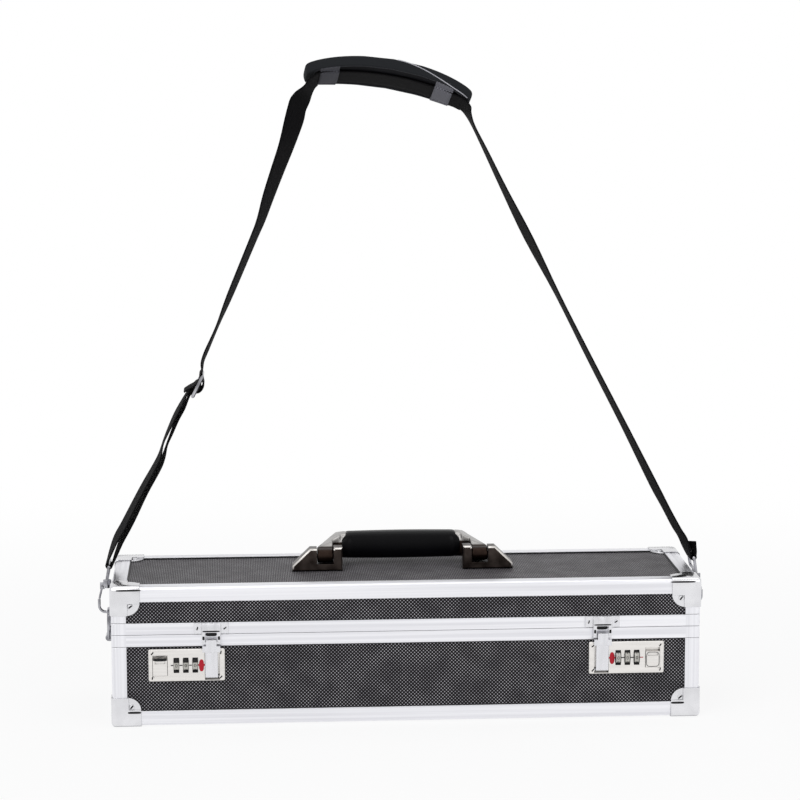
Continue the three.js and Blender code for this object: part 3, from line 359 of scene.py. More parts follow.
studio_world()
for name, (place, aim, size, power) in LAMPS.items():
    lamp = linked(name, bpy.data.lights.new(name, "AREA"))
    lamp.data.size = size
    lamp.data.energy = power
    lamp.location = place
    lamp.rotation_euler = (Vector((0, 0, aim)) - Vector(place)).to_track_quat("-Z", "Y").to_euler()
print(len(LAMPS), "lamps and a world at", WORLD_FILL)

# %% [markdown]
# The floor is a large plain sheet. To the camera it is mostly its own even white, mixed near the case
# with a little of how it is really lit, so that it keeps the case's soft shadow. Further out it is all
# even white, and meets the white world without a line.

# %% Floor
FLOOR_HALF, FLOOR_SHADOW = 6000.0, 0.14
SHADOW_NEAR, SHADOW_FAR = 0.35, 1.1
PAPER_COLOR = (0.9, 0.9, 0.91, 1)


def floor_finish():
    """Diffuse paper, which a camera ray or a reflection sees mixed with even white."""
    finish, tree, shader = new_finish("white seamless paper")
    tree.nodes.remove(shader)
    path = add(tree, "LightPath").outputs
    seen = combined(tree, "MAXIMUM", path["Is Camera Ray"], path["Is Glossy Ray"])
    away = length_of(tree, coordinates(tree))
    even_share = eased(tree, away, SHADOW_NEAR, SHADOW_FAR, 1.0 - FLOOR_SHADOW, 1.0)
    paper = add(tree, "BsdfDiffuse", {"Color": PAPER_COLOR}).outputs[0]
    even = add(tree, "Emission", {"Color": WHITE}).outputs[0]
    mixed = add(tree, "MixShader", {0: combined(tree, "MULTIPLY", seen, even_share), 1: paper, 2: even})
    tree.links.new(mixed.outputs[0], tree.nodes["Material Output"].inputs["Surface"])
    return finish


floor_corners = FLOOR_HALF * np.array([(-1, -1, 0), (1, -1, 0), (1, 1, 0), (-1, 1, 0)])
floor = linked("floor", mesh_of("floor", floor_corners, [(0, 1, 2, 3)], floor_finish()))
print("floor of", 2 * FLOOR_HALF * MM, "m")

# %% [markdown]
# Plated metal mirrors a white room, so its joints would look as bright as its faces, where real ones hold
# shade and a little dirt. A finish can ask how open a point is to its near surroundings, and darken the
# colour where it isn't: painted shade, with a little dirt in it.

# %% Painted shade in the joints
JOINT_SHUT, JOINT_OPEN, JOINT_SAMPLES = 0.2, 0.72, 8


def shaded_joints(tree, color, reach, deep):
    """The colour, turned deep where little of the space in reach is open: painted shade."""
    sockets = {"Distance": reach * MM}
    openness = add(tree, "AmbientOcclusion", sockets, samples=JOINT_SAMPLES).outputs["AO"]
    return between(tree, eased(tree, openness, JOINT_SHUT, JOINT_OPEN), tone(deep), color)


# %% [markdown]
# The rails are extruded aluminium, satin anodised. Extruding leaves faint lines along the length, so
# their noise is stretched over a hundredfold: along X on the long rails, along Z on the corner posts,
# and along Y on the short end rails.

# %% Satin anodised aluminium
POST_X, POST_Y = 0.2248, 0.0523
SLOW, FAST = 3, 420


def satin_anodised_aluminium():
    """Three stretched noises, chosen by place: along X, and past POST_X upright or along Y."""
    finish, tree, shader = new_finish("satin anodised aluminium", metallic=1.0)
    along, across, upright = (
        noise(tree, [SLOW if axis == slow_axis else FAST for axis in range(3)])
        for slow_axis in range(3))
    where = axes_of(tree, coordinates(tree))
    past_x, past_y = (
        combined(tree, "GREATER_THAN", combined(tree, "ABSOLUTE", where[axis]), edge)
        for axis, edge in (("X", POST_X), ("Y", POST_Y)))
    lines = blend(tree, past_x, along, blend(tree, past_y, across, upright))
    drive(tree, shader,
          base_color=drift(tree, lines, "#e4e4e9", "#f3f3f7"),
          roughness=eased(tree, lines, *DRIFT, 0.3, 0.42),
          normal=relief(tree, lines, 0.12, 0.1, Normal=soft_edges(tree, 0.6)))
    return finish


rail_finish = satin_anodised_aluminium()
print("made", rail_finish.name)

# %% [markdown]
# The caps are pressed steel with a bright zinc plating, slightly wavy from the press, so the finish is
# a soft cloudy roughness with few lines. The locks' nickel, the dials' cast zinc and the hooks' chrome
# are the same kind of surface in other tones and grains.

# %% Plated steel, nickel and chrome
PLATED_REACH = 2.2


def plated_metal(name, dark, light, roughness, grain=(60, 60, 60), edge=0.5, deep="#1d1c1e"):
    """A metal whose colour and roughness drift with a cloudy noise of the given grain a metre."""
    finish, tree, shader = new_finish(name, metallic=1.0)
    cloud = noise(tree, grain)
    color = drift(tree, cloud, dark, light, WIDE_DRIFT)
    drive(tree, shader,
          # Painted shade: the colour darkens in the joints.
          base_color=shaded_joints(tree, color, PLATED_REACH, deep),
          roughness=eased(tree, cloud, *WIDE_DRIFT, roughness * 0.75, roughness * 1.3),
          normal=relief(tree, cloud, 0.08, 0.1, Normal=soft_edges(tree, edge)))
    return finish


cap_finish = plated_metal("zinc plated pressed steel", "#dadadd", "#eaeaed", 0.16, deep="#97979b")
nickel_finish = plated_metal(
    "brushed satin nickel", "#e3e0dd", "#eeebe8", 0.3, (25, 500, 500), 0.3, "#4a4846")
hasp_finish = plated_metal("bright nickel", "#dedee2", "#e9e9ed", 0.24, (300, 300, 30), 0.3)
dial_finish = plated_metal("cast zinc dial", "#a3a19c", "#c4c2bd", 0.34, (400, 400, 400), 0.2)
# Chrome takes darker tones than it has, standing in for dark surroundings: a painted reflection.
chrome_finish = plated_metal("chrome plated steel", "#7b7b80", "#c2c2c7", 0.12, (80, 80, 80), 0.2)
print("made five plated finishes")

# %% [markdown]
# The handle's brackets and arms are cast zinc with a thin gunmetal coat. A pale tone is painted on the
# chamfers along the brackets' upper edges, a painted highlight, and on the whole upper side of the arms,
# whose lower side keeps the dark coat: painted light above, painted shade below. A chamfer is found by
# its normal, between front and top.

# %% Gunmetal coated zinc
# Heights in metres over which the arms turn from painted shade to painted light
PAINTED_LIGHT_FROM, PAINTED_LIGHT_TO = 0.1308, 0.1319
GUNMETAL_REACH = 3.0


def upper_chamfers(tree):
    """1 where the normal is between front and side and points up a little: the painted highlight."""
    normal = axes_of(tree, coordinates(tree, "Normal"))
    depth = combined(tree, "ABSOLUTE", normal["Y"])
    slanted = combined(tree, "MULTIPLY", eased(tree, depth, 0.25, 0.45), eased(tree, depth, 0.98, 0.9))
    return combined(tree, "MULTIPLY", slanted, eased(tree, normal["Z"], 0.05, 0.2))


def upper_side(tree):
    """1 above the height, in metres, from which light is painted on the arms."""
    return eased(tree, axes_of(tree, coordinates(tree))["Z"], PAINTED_LIGHT_FROM, PAINTED_LIGHT_TO)


def gunmetal(name, dark, light, light_tone, where_painted_light):
    """The coat drifts between two tones; the painted light tone shows by its mask."""
    finish, tree, shader = new_finish(name, metallic=1.0)
    cloud = noise(tree, (90, 90, 90))
    metal = between(tree, where_painted_light(tree), drift(tree, cloud, dark, light), tone(light_tone))
    drive(tree, shader,
          # Painted shade: the colour darkens in the joints.
          base_color=shaded_joints(tree, metal, GUNMETAL_REACH, "#0c0908"),
          roughness=eased(tree, cloud, *DRIFT, 0.26, 0.38),
          normal=soft_edges(tree, 0.5))
    return finish


# Brackets: a painted highlight on the upper chamfers. Arms: painted light above, painted shade below.
bracket_finish = gunmetal("gunmetal coated zinc", "#322b28", "#4c4440", "#dad6d2", upper_chamfers)
arm_finish = gunmetal("rubbed gunmetal coated zinc", "#241b18", "#302621", "#a8a6a4", upper_side)
print("made", bracket_finish.name, "and", arm_finish.name)

# %% [markdown]
# The panels are faced with black ABS sheet, embossed with small round pips whose tops catch the light;
# the pale dots are that light painted into the colour, a painted highlight. The dots sit at the corners
# and the centres of square cells: two square lattices, the second shifted by half a cell. A point's
# height is read from its distance to the nearer dot. The sheet lying flat on the lid's top has a paler
# ground and paler dots.

# %% Black ABS sheet with pips
PIP_CELL, PIP_FOOT, PIP_TOP = 2.85, 0.235, 0.075


def pipped_abs(name, in_plane, ground, dull, bright):
    """in_plane is 1 on the two axes of the sheet; both lattices are fractions of it."""
    finish, tree, shader = new_finish(name, roughness=0.55, gloss=0.2)
    mask = Vector(in_plane)
    vectors = {"kind": "VectorMath"}
    cells = combined(tree, "MULTIPLY", coordinates(tree), mask / (PIP_CELL * MM), **vectors)
    nearest = []
    for shift in (mask * 0, mask / 2):
        moved = combined(tree, "ADD", cells, shift, **vectors)
        part = combined(tree, "FRACTION", moved, **vectors)
        nearest.append(length_of(tree, combined(tree, "SUBTRACT", part, mask / 2, **vectors)))
    pip = eased(tree, combined(tree, "MINIMUM", *nearest), PIP_FOOT, PIP_TOP)
    # Painted highlight: the pips' tops take a pale tone.
    lit = drift(tree, noise(tree, (60, 60, 60)), dull, bright)
    drive(tree, shader,
          base_color=between(tree, pip, tone(ground), lit),
          normal=relief(tree, pip, 0.5, 0.3, Normal=soft_edges(tree, 0.3)))
    return finish


pips_front = pipped_abs("black ABS with pips upright", (1, 0, 1), "#040305", "#95939a", "#c4c2c8")
pips_end = pipped_abs("black ABS with pips on the ends", (0, 1, 1), "#040305", "#95939a", "#c4c2c8")
pips_flat = pipped_abs("black ABS with pips lying flat", (1, 1, 0), "#201e21", "#afacb1", "#d5d2d7")
print("made three sheets with a", PIP_CELL, "mm cell")

# %% [markdown]
# The lining is charcoal polyurethane foam: matt, with open cells of a millimetre and a half that show
# as fine dark specks. The grip, the enamel and the bead are smooth, with a fine grain and a slow drift
# of colour.

# %% Foam, moulded plastic and enamel
FOAM_CELLS = 620.0


def open_cell_foam():
    """A cell pattern, both as relief and as darker pores."""
    finish, tree, shader = new_finish("charcoal open cell foam", roughness=0.95)
    sockets = {"Vector": coordinates(tree), "Scale": FOAM_CELLS}
    pore = eased(tree, add(tree, "TexVoronoi", sockets).outputs["Distance"], 0.1, 0.55)
    drive(tree, shader,
          base_color=between(tree, pore, tone("#19191b"), tone("#35353a")),
          normal=relief(tree, pore, 0.5, 0.5))
    return finish


def moulded_plastic(name, dark, light, roughness, grain=900.0, gloss=0.25):
    """A fine spark-eroded grain as relief, and a slow drift between two colours."""
    finish, tree, shader = new_finish(name, roughness=roughness, gloss=gloss)
    drive(tree, shader,
          base_color=drift(tree, noise(tree, (30, 30, 30)), dark, light),
          normal=relief(tree, noise(tree, (grain, grain, grain)), 0.15, 0.2))
    return finish


foam_finish = open_cell_foam()
grip_finish = moulded_plastic("soft black PVC grip", "#020204", "#050508", 0.34, gloss=0.1)
red_finish = moulded_plastic("red enamel", "#b0182a", "#c8202f", 0.3)
black_finish = moulded_plastic("black enamel", "#0c0c0e", "#17171a", 0.45)
# Painted light: a pale tone that lightens the dark seam between base and lid.
seam_light_finish = moulded_plastic("pale grey vinyl bead", "#c9c9cd", "#dadade", 0.5)
print("made foam, grip and enamel")

# %% [markdown]
# The strap is black polyester webbing, whose threads cross over and under. They lie half a millimetre
# apart, finer than a pixel here, so the weave is drawn more than twice as coarse. It follows the strap
# because it reads the strap's own map: u runs across, v along.

# %% Woven polyester


def woven(name, dark, light, across, along, sheen=0.02, gloss=0.08):
    """The product of two sine waves, one across the strap and one along it."""
    finish, tree, shader = new_finish(
        name, roughness=0.85, sheen_weight=sheen, sheen_roughness=0.4, gloss=gloss)
    where = axes_of(tree, add(tree, "UVMap", uv_map="along").outputs[0])
    waves = []
    for axis, pitch in (("X", across), ("Y", along)):
        phase = combined(tree, "MULTIPLY", where[axis], 2 * math.pi / (pitch * MM))
        waves.append(combined(tree, "SINE", phase))
    thread = eased(tree, combined(tree, "MULTIPLY", *waves), -0.8, 0.8)
    drive(tree, shader,
          base_color=between(tree, thread, tone(dark), tone(light)),
          normal=relief(tree, thread, 0.5, 0.4))
    return finish


web_finish = woven("black polyester webbing", "#020203", "#100f11", 2.2, 2.6)
binding_finish = woven("grosgrain binding", "#151618", "#2f3134", 40.0, 1.8)
# One grey nylon in two copies: the left darkened, painted shade; the right lightened, painted light.
tape_finishes = {
    "left": woven("grey nylon tape in shade", "#38383d", "#505056", 2.0, 2.4, 0.05, 0.15),
    "right": woven("grey nylon tape in light", "#55555b", "#7a7a81", 2.0, 2.4, 0.05, 0.15),
}
pad_finish = moulded_plastic("black neoprene with knit face", "#070709", "#0e0e12", 0.8, 1400.0, 0.1)
# Painted highlight: a pale grey cord stands for the light along the pad's rim.
rim_highlight_finish = moulded_plastic("grey welt cord", "#9a9aa0", "#b4b4ba", 0.6)
thread_finish = moulded_plastic("bonded nylon thread", "#2c2c31", "#3c3c42", 0.55)
print("made seven cloth finishes")

# %% [markdown]
# Each CAD node keeps its mesh and takes the finish of what it is made of. The meshes come as loose
# triangles. Welding them and splitting only the sharp edges lets round parts shade smoothly while flat
# parts stay crisp, and changes no size.

# %% Finishes on the hard parts
SHARP_ANGLE = math.radians(34)
FINISH_RULES = [
    ("top_panel", pips_flat), ("bottom_panel", pips_flat), ("left_panel", pips_end),
    ("right_panel", pips_end), ("_panel", pips_front), ("foam", foam_finish),
    ("_cap_", cap_finish), ("_frame", rail_finish), ("_band_", rail_finish),
    ("hinge_leaf", rail_finish), ("lock_dial", dial_finish), ("lock_hasp", hasp_finish),
    ("lock_keeper", hasp_finish), ("lock_", nickel_finish),
    ("handle_bracket", bracket_finish), ("handle_arm", arm_finish), ("handle_grip", grip_finish),
    ("webbing", web_finish), ("pad", pad_finish),
]


def finish_of(node):
    """The finish of the first rule whose word is in the node's name."""
    return next((finish for word, finish in FINISH_RULES if word in node), chrome_finish)


for name, node in nodes.items():
    node.data.materials.clear()
    node.data.materials.append(finish_of(name))
    node.data.polygons.foreach_set("use_smooth", np.ones(len(node.data.polygons), bool))
    weld = node.modifiers.new("weld", "WELD")
    weld.merge_threshold = MERGE_WITHIN
    split = node.modifiers.new("sharp edges", "EDGE_SPLIT")
    split.split_angle = SHARP_ANGLE
print("finished", len(nodes), "solids")

# %% [markdown]
# The strap is one length of webbing. It starts sewn round the right eye, climbs to the pad, runs under
# it, goes down through the adjuster and round the left eye, and comes back up to be sewn round the
# adjuster's middle bar. Its stations follow the CAD route: each is a place, and the direction in which
# the webbing is wide there.

# %% Strap route
WEB_WIDTH, WEB_WALL, FIT = 25.0, 1.4, 0.3
RING_X, COLLAR_OUT, COLLAR_TOP = 241.0, 0.8, 107.0
EYE_HIGH, EYE_WIRE, EYE_LEAN, EYE_STEPS = 120.8, 1.3, math.radians(9), 7
STRAP_LEAN = 26
ADJUSTER = np.array([-165.8, 0, 267.5])
ADJUSTER_SLOPE = math.radians(63)
PAD_RADIUS, PAD_HALF_ANGLE = 210.0, math.radians(18.7)
PAD_MIDDLE = np.array([-9.4, 0, 516.7])
PAD_SLOPE, PAD_TILT, PAD_TWIST = np.radians([-9.8, 20, 4.5])
PAD_HALF_WIDTH, PAD_END_HALF_WIDTH = 26.0, 14.6
PAD_RIM, PAD_CROWN, PAD_BELLY = 6.5, 3.0, 1.0
UNDER_PAD_SHARES = np.linspace(0.92, -0.84, 13)


def rising(angle):
    """The direction that rises from X at an angle, and the one a quarter turn on."""
    return np.array([[math.cos(angle), 0, math.sin(angle)], [-math.sin(angle), 0, math.cos(angle)]])


def leg(points):
    """Stations x, z and turn: the width is Y turned about the strap's own direction."""
    x, z, turn = np.array(points, float).T
    places = stacked(x, 0, z)
    step = np.vstack([places[1:], places[-1:]]) - np.vstack([places[:1], places[:-1]])
    width = np.array([[0.0, 1.0, 0.0]])
    turn = np.radians(turn)[:, None]
    return np.hstack([places, width * np.cos(turn) + np.cross(unit(step), width) * np.sin(turn)])


def unturned(places):
    """Stations whose width direction is Y itself."""
    return np.hstack([places, np.tile([0.0, 1.0, 0.0], (len(places), 1))])


def by_adjuster(points):
    """Stations given along the adjuster and out from it."""
    table = np.array(points, float)
    return unturned(ADJUSTER + table[:, :1] * adjuster_along + table[:, 1:] * adjuster_out)


def eye_turn(side):
    """Half a turn round the eye's top bar, from the outer side to the inner one."""
    reach = EYE_WIRE + FIT + WEB_WALL / 2
    round_bar = arc((0, 0), reach, STRAP_LEAN, STRAP_LEAN - 180, EYE_STEPS)
    eye_out = COLLAR_OUT - (EYE_HIGH - COLLAR_TOP) * math.tan(EYE_LEAN)
    x = side * (RING_X + eye_out + round_bar[:, 0])
    return unturned(stacked(x, 0, EYE_HIGH + round_bar[:, 1]))


def pad_stations(share):
    """The pad's middle line, width and up directions; its front edge is raised."""
    share = np.asarray(share, float)[..., None]
    angle = share * PAD_HALF_ANGLE
    middle = (PAD_MIDDLE + pad_along * PAD_RADIUS * np.sin(angle)
              + pad_up * PAD_RADIUS * (np.cos(angle) - 1))
    along = pad_along * np.cos(angle) - pad_up * np.sin(angle)
    tilt = PAD_TILT + PAD_TWIST * share**2
    across = np.array([0.0, -1.0, 0.0]) * np.cos(tilt) + pad_up * np.sin(tilt)
    return middle, across, unit(np.cross(across, along))


def under_pad(share):
    """Stations of the webbing, as far down as the pad is thick there."""
    middle, across, top = pad_stations(share)
    return np.hstack([middle - top * (PAD_RIM / 2 + PAD_BELLY + FIT + WEB_WALL / 2), -across])


adjuster_along, adjuster_out = rising(ADJUSTER_SLOPE)
pad_along, pad_up = rising(PAD_SLOPE)
route = np.vstack([
    leg([(237.4, 131.9, -22), (239.1, 128.4, -14), (240.9, 125.1, -6)]),
    eye_turn(1),
    leg([(235.4, 126.4, 6), (232.2, 135.5, 10), (226.9, 144, 10), (218.3, 160, 9), (207.7, 180, 10.5),
         (182.9, 229.1, 7), (154.5, 283.9, 5.5), (127.5, 337, 4), (103, 384.5, 12), (83, 424, 6.5),
         (67.5, 456, 3), (58, 475, 1), (53.6, 484.8, 8), (51.4, 489.6, 18)]),
    under_pad(UNDER_PAD_SHARES),
    leg([(-69.9, 511, 22), (-72.2, 508.7, 22), (-73.9, 506, 22), (-76.2, 502.8, 27),
         (-79.2, 498.8, 36), (-82, 494.4, 40), (-84, 489, 38.5), (-86.2, 480, 39.5), (-92.4, 460, 32),
         (-99.8, 440, 27.5), (-107, 420, 23.5), (-113.5, 400, 17.5), (-120, 384.5, 15), (-138.9, 340, 12.5),
         (-149.4, 315, 6), (-158.5, 294.6, 8), (-161.8, 285.5, 5)]),
    by_adjuster([(12, 1.9), (9.4, 2.3), (7.3, 1.5), (6, -0.6), (4.3, -2.9), (2.2, -4), (0, -4.3),
                 (-2.2, -4), (-4.3, -2.9), (-6, -0.6), (-7.3, 1.5), (-9.4, 2.3), (-13, 2.2)]),
    leg([(-177.2, 249.3, -3), (-182.4, 240.2, -4), (-187, 229, -2), (-191, 219.5, 0),
         (-193.9, 209.5, -4), (-197.7, 200.2, -5), (-208.7, 180.3, -5), (-218.4, 160.5, -6),
         (-224, 150.2, -7), (-229.2, 140.4, -6), (-233.6, 130, -4)]),
    eye_turn(-1)[::-1],
    leg([(-238.4, 130.5, 5), (-234.1, 141, 8), (-228.3, 151, 9), (-222.5, 162.3, 8), (-212, 182.2, 7),
         (-201, 201.8, 5), (-197, 210.5, 4), (-194.3, 220.5, 0), (-190, 230.5, 2), (-184.8, 241.4, 4),
         (-179.8, 250.8, 3)]),
    by_adjuster([(-12.5, 4.7), (-9.4, 4.25), (-6.6, 3.1), (-5.4, 1.9), (-4.2, 0.3), (-3, -1.2),
                 (-1.3, -2), (0.4, -2.1), (1.7, -1.3), (2.15, 0), (1.7, 1.3), (0.4, 2.1),
                 (-1.2, 2.6), (-3.2, 3.9), (-6.2, 5.9), (-9.3, 7.6)]),
])
print("strap of", round(run_along(route[:, :3])[-1]), "mm through", len(route), "stations")

# %% [markdown]
# A smooth curve is drawn between the stations, and a flat section is carried along it, whose wall thins
# out to soft edges.

# %% Webbing
WEB_STEPS, WEB_COLUMNS, WEB_SQUARENESS = 4, 17, 12


def ribbon(stations, half_width, half_wall):
    """Across the flat section the wall thins to nothing at both edges."""
    place, across = stations[:, :3], unit(stations[:, 3:])
    face = unit(np.cross(np.gradient(place, axis=0), across))
    share = np.sin(np.linspace(-np.pi / 2, np.pi / 2, WEB_COLUMNS))
    height = np.sqrt(np.clip(1 - np.abs(share) ** WEB_SQUARENESS, 0, 1))
    share = np.concatenate([share, share[-2::-1]])
    height = np.concatenate([height, -height[-2::-1]])
    grid = (place[:, None] + half_width * share[None, :, None] * across[:, None]
            + half_wall * height[None, :, None] * face[:, None])
    first, last = (np.repeat(grid[i].mean(axis=0)[None, None], grid.shape[1], axis=1) for i in (0, -1))
    run = run_along(place)
    run = np.concatenate([run[:1], run, run[-1:]])
    return np.vstack([first, grid, last]), stacked(half_width * share, run[:, None])


web_grid, web_uv = ribbon(flowing(route, WEB_STEPS), WEB_WIDTH / 2, WEB_WALL / 2)
webbing = surface("webbing", [web_grid], web_finish, "strap", uvs=[web_uv])
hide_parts("strap_webbing")

# %% [markdown]
# The pad is a long rounded cushion, crowned above and nearly flat below, bound round its rim with a
# ribbed tape. Its outline from above is a superellipse, a rectangle with rounded ends. Each row of the
# surface is one such loop: they start at the middle of the top, go out over the rim and come back to
# the middle of the belly.

# %% Shoulder pad
PAD_ROUNDNESS, PAD_COLUMNS, PAD_MAP_HALF = 7, 240, 40.0
CROWN_ROWS, BINDING_ROWS, RIM_TURNS = 22, 5, np.radians(np.linspace(80, -80, 9))
BINDING_SHARE, BINDING_STEP, BINDING_PROUD, RIM_SHARE = 0.86, 0.004, 0.5, 0.985


def pad_half_width(share):
    """Widest in the middle, narrowing with the square of the distance along."""
    return PAD_END_HALF_WIDTH + (PAD_HALF_WIDTH - PAD_END_HALF_WIDTH) * (1 - share**2)


def pad_points(along, across, height):
    """Points from shares along and across and a height above the middle surface."""
    middle, width, top = pad_stations(along)
    return middle + width * (across * pad_half_width(along))[..., None] + top * height[..., None]


def round_rim(turn):
    """How far out and how high the bound rim lies at an angle, on a flattened half circle."""
    return RIM_SHARE + (1 - RIM_SHARE) * np.cos(turn), (PAD_RIM / 2 + BINDING_PROUD) * np.sin(turn)


def thickness(share, bulge, proud=0.0):
    """From the middle surface to the skin: half the rim, and a bulge that dies out towards it."""
    return PAD_RIM / 2 + proud + bulge * (1 - share**2)


def pad_rows():
    """How far out each row lies, as a share, and its height: crown, binding, rim and belly."""
    out = np.sin(np.linspace(0, np.pi / 2, CROWN_ROWS)) * BINDING_SHARE
    step = np.linspace(BINDING_SHARE + BINDING_STEP, RIM_SHARE, BINDING_ROWS)
    above, below = (np.concatenate([thickness(out, bulge), thickness(step, bulge, BINDING_PROUD)])
                    for bulge in (PAD_CROWN, PAD_BELLY))
    rim_out, rim_up = round_rim(RIM_TURNS)
    shares = np.concatenate([out, step, rim_out, step[::-1], out[::-1]])
    return shares, np.concatenate([above, rim_up, -below[::-1]])


outline_along, outline_across = oval(PAD_COLUMNS, 2 / PAD_ROUNDNESS)
row_share, row_height = pad_rows()
pad_grid = pad_points(row_share[:, None] * outline_along, row_share[:, None] * outline_across,
                      np.broadcast_to(row_height[:, None], (len(row_share), PAD_COLUMNS + 1)))
binding_run = run_along(pad_grid[CROWN_ROWS + BINDING_ROWS // 2])
pad_uv = stacked(PAD_MAP_HALF * row_share[:, None], binding_run)
bound = np.repeat((row_share[:-1] + row_share[1:]) / 2 > BINDING_SHARE, PAD_COLUMNS)
pad = surface("shoulder_pad_cushion", [pad_grid], pad_finish, "strap", uvs=[pad_uv],
              banded=(binding_finish, bound))
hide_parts("shoulder_pad")

# %% [markdown]
# A light cord starts at the top of the pad's front rim, near the middle, and winds down to its lower
# edge at the right end: a painted highlight along the rim. A row of stitches holds the binding, above
# and below. Two grey nylon tapes cross the belly and hold the webbing to it: they rise over it and drop
# back to the pad beside it.

# %% Painted rim highlight, stitches and keeper tapes
CORD_RADIUS, CORD_FROM, CORD_DOWN, CORD_TO = 0.42, 0.05, 0.77, 0.955
CORD_TURNS = (82, -62, -80)
STITCH_RADIUS, STITCH_PITCH, STITCH_LENGTH, STITCH_SHARE = 0.24, 3.0, 2.0, BINDING_SHARE + 0.045
TAPE_SHARES = {"left": (-0.836, -0.61), "right": (0.547, 0.773)}
TAPE_WALL, TAPE_REACH, TAPE_ROWS, TAPE_COLUMNS = 0.6, 0.97, 7, 49
TAPE_OVER_WEB, TAPE_BESIDE, TAPE_DROP = FIT + WEB_WALL + 0.15, 1.5, 3
TAPE_OVER_BINDING, TAPE_RISE_FROM, TAPE_RISE = 0.75, 0.82, 0.04


def outline_reach(share):
    """How far across the superellipse reaches at a share along: the rest of one, to its root."""
    return (1 - np.abs(share) ** PAD_ROUNDNESS) ** (1 / PAD_ROUNDNESS)


def welt_cord():
    """A tube on the front rim, whose angle round it falls from top to bottom: a painted highlight."""
    share = np.linspace(CORD_FROM, CORD_TO, 60)
    out, height = round_rim(np.radians(np.interp(share, [CORD_FROM, CORD_DOWN, CORD_TO], CORD_TURNS)))
    return tube(pad_points(share, out * outline_reach(share), height), CORD_RADIUS, pad_up, sides=10)


def binding_stitches(side, bulge):
    """Short raised tubes in a row inside the binding's edge, on the crown or on the belly."""
    rise = np.full(PAD_COLUMNS + 1, side * thickness(STITCH_SHARE, bulge, BINDING_PROUD))
    loop = pad_points(STITCH_SHARE * outline_along, STITCH_SHARE * outline_across, rise)
    run = run_along(loop)
    stitches = []
    for start in np.arange(0, run[-1] - STITCH_PITCH, STITCH_PITCH):
        at = start + STITCH_LENGTH * np.linspace(0, 1, 4)
        path = stacked(*(np.interp(at, run, places) for places in loop.T))
        stitches.append(tube(path, STITCH_RADIUS, pad_up, sides=6))
    return stitches


def keeper_tape(start, stop):
    """Sheets a wall apart, which step out where the webbing lies under them."""
    along = np.linspace(start, stop, TAPE_ROWS)[:, None]
    across = np.linspace(TAPE_REACH, -TAPE_REACH, TAPE_COLUMNS)[None, :]
    beside = WEB_WIDTH / 2 + TAPE_BESIDE - np.abs(across) * pad_half_width(along)
    under = np.clip(beside / TAPE_DROP, 0, 1)
    on_binding = np.clip((np.abs(across) - TAPE_RISE_FROM) / TAPE_RISE, 0, 1)
    depth = (thickness(across, PAD_BELLY) + TAPE_OVER_WEB * under**2 * (3 - 2 * under)
             + TAPE_OVER_BINDING * on_binding * (1 - under))
    along, across, depth = np.broadcast_arrays(along, across * outline_reach(along), depth)
    faces = [pad_points(along, across, -depth - wall) for wall in (TAPE_WALL, 0)]
    return [*faces, np.stack([rim_of(face) for face in faces])]


# The light cord on the rim is a painted highlight.
cord = surface("pad_welt_cord", [welt_cord()], rim_highlight_finish, "strap")
stitch_tubes = binding_stitches(1, PAD_CROWN) + binding_stitches(-1, PAD_BELLY)
stitches = surface("pad_stitches", stitch_tubes, thread_finish, "strap")
for end, shares in TAPE_SHARES.items():
    grids = keeper_tape(*shares)
    flat_map = [stacked(-grid[..., 1], grid @ pad_along) for grid in grids]
    tape = surface("pad_keeper_tape_" + end, grids, tape_finishes[end], "strap", uvs=flat_map)

# %% [markdown]
# The case is lined with cut foam: a tub in the base, and a pad in the lid with the egg-crate face that
# holds the knives still. The tub is a merged copy of its CAD solid, with its cut edges rounded by a
# bevel. The pad's face is a product of two cosines: rounded bumps and hollows in a chequered order.

# %% Foam lining
FLAT_WITHIN = 0.02
FOAM_ROUND, FOAM_SEGMENTS = 2.0, 4
BUMP_PITCH, BUMP_DEPTH, CRATE_POINTS = 38.1, 13.0, (229, 57)


def merged_copy(node, name):
    """The solid as a piece of its own, its triangles merged into whole faces."""
    mesh = nodes[node].data.copy()
    mesh.name = name
    merge(mesh, lambda work: bmesh.ops.dissolve_limit(
        work, angle_limit=FLAT_WITHIN, verts=work.verts, edges=work.edges))
    return linked(name, mesh)


def egg_crate(low, high):
    """Below, low + depth (1 + cos cos)/2; flat above; walls join the two."""
    x, y = (np.linspace(low[axis], high[axis], CRATE_POINTS[axis]) for axis in (0, 1))
    wide, deep = np.meshgrid(x, y, indexing="ij")
    wave = np.cos(2 * np.pi * wide / BUMP_PITCH) * np.cos(2 * np.pi * deep / BUMP_PITCH)
    faces = [stacked(wide, deep, low[2] + BUMP_DEPTH * (1 + wave) / 2), stacked(wide, deep, high[2])]
    return [*faces, np.stack([rim_of(face) for face in faces])]


tub = merged_copy("base_foam_tub", "foam_tub_lining")
edges = tub.modifiers.new("rounded cut", "BEVEL")
edges.width = FOAM_ROUND * MM
edges.segments = FOAM_SEGMENTS
edges.limit_method = "ANGLE"
tub.modifiers.new("even shading", "WEIGHTED_NORMAL")
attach(tub, "base")
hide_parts("base_foam_tub")
lid_low, lid_high = (np.array(corner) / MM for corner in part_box("lid_foam_pad"))
crate = surface("foam_egg_crate", egg_crate(lid_low, lid_high), foam_finish, "lid")
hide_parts("lid_foam_pad")
print("foam in", tub.name, "and", crate.name)

# %% [markdown]
# The grip is a PVC sleeve over a steel core, a squarish oval that is a little fuller in the middle. At
# each end the arm's metal cuff laps over the sleeve's top and underside, while the sleeve's sides come
# forward past it.

# %% Grip
GRIP_MIDDLE = (30.2, 127.5)
GRIP_HALF, GRIP_CUFF_START, GRIP_CUFF = 48.9, 41.5, 7.4
GRIP_HALF_DEPTH, GRIP_HALF_HEIGHT, GRIP_POWER, GRIP_PROUD = 10.8, 11.4, 0.72, 1.1
GRIP_FULLER, GRIP_CUFF_DROP, GRIP_RISE = 0.05, 0.35, 4
GRIP_ROWS, GRIP_COLUMNS = 61, 64


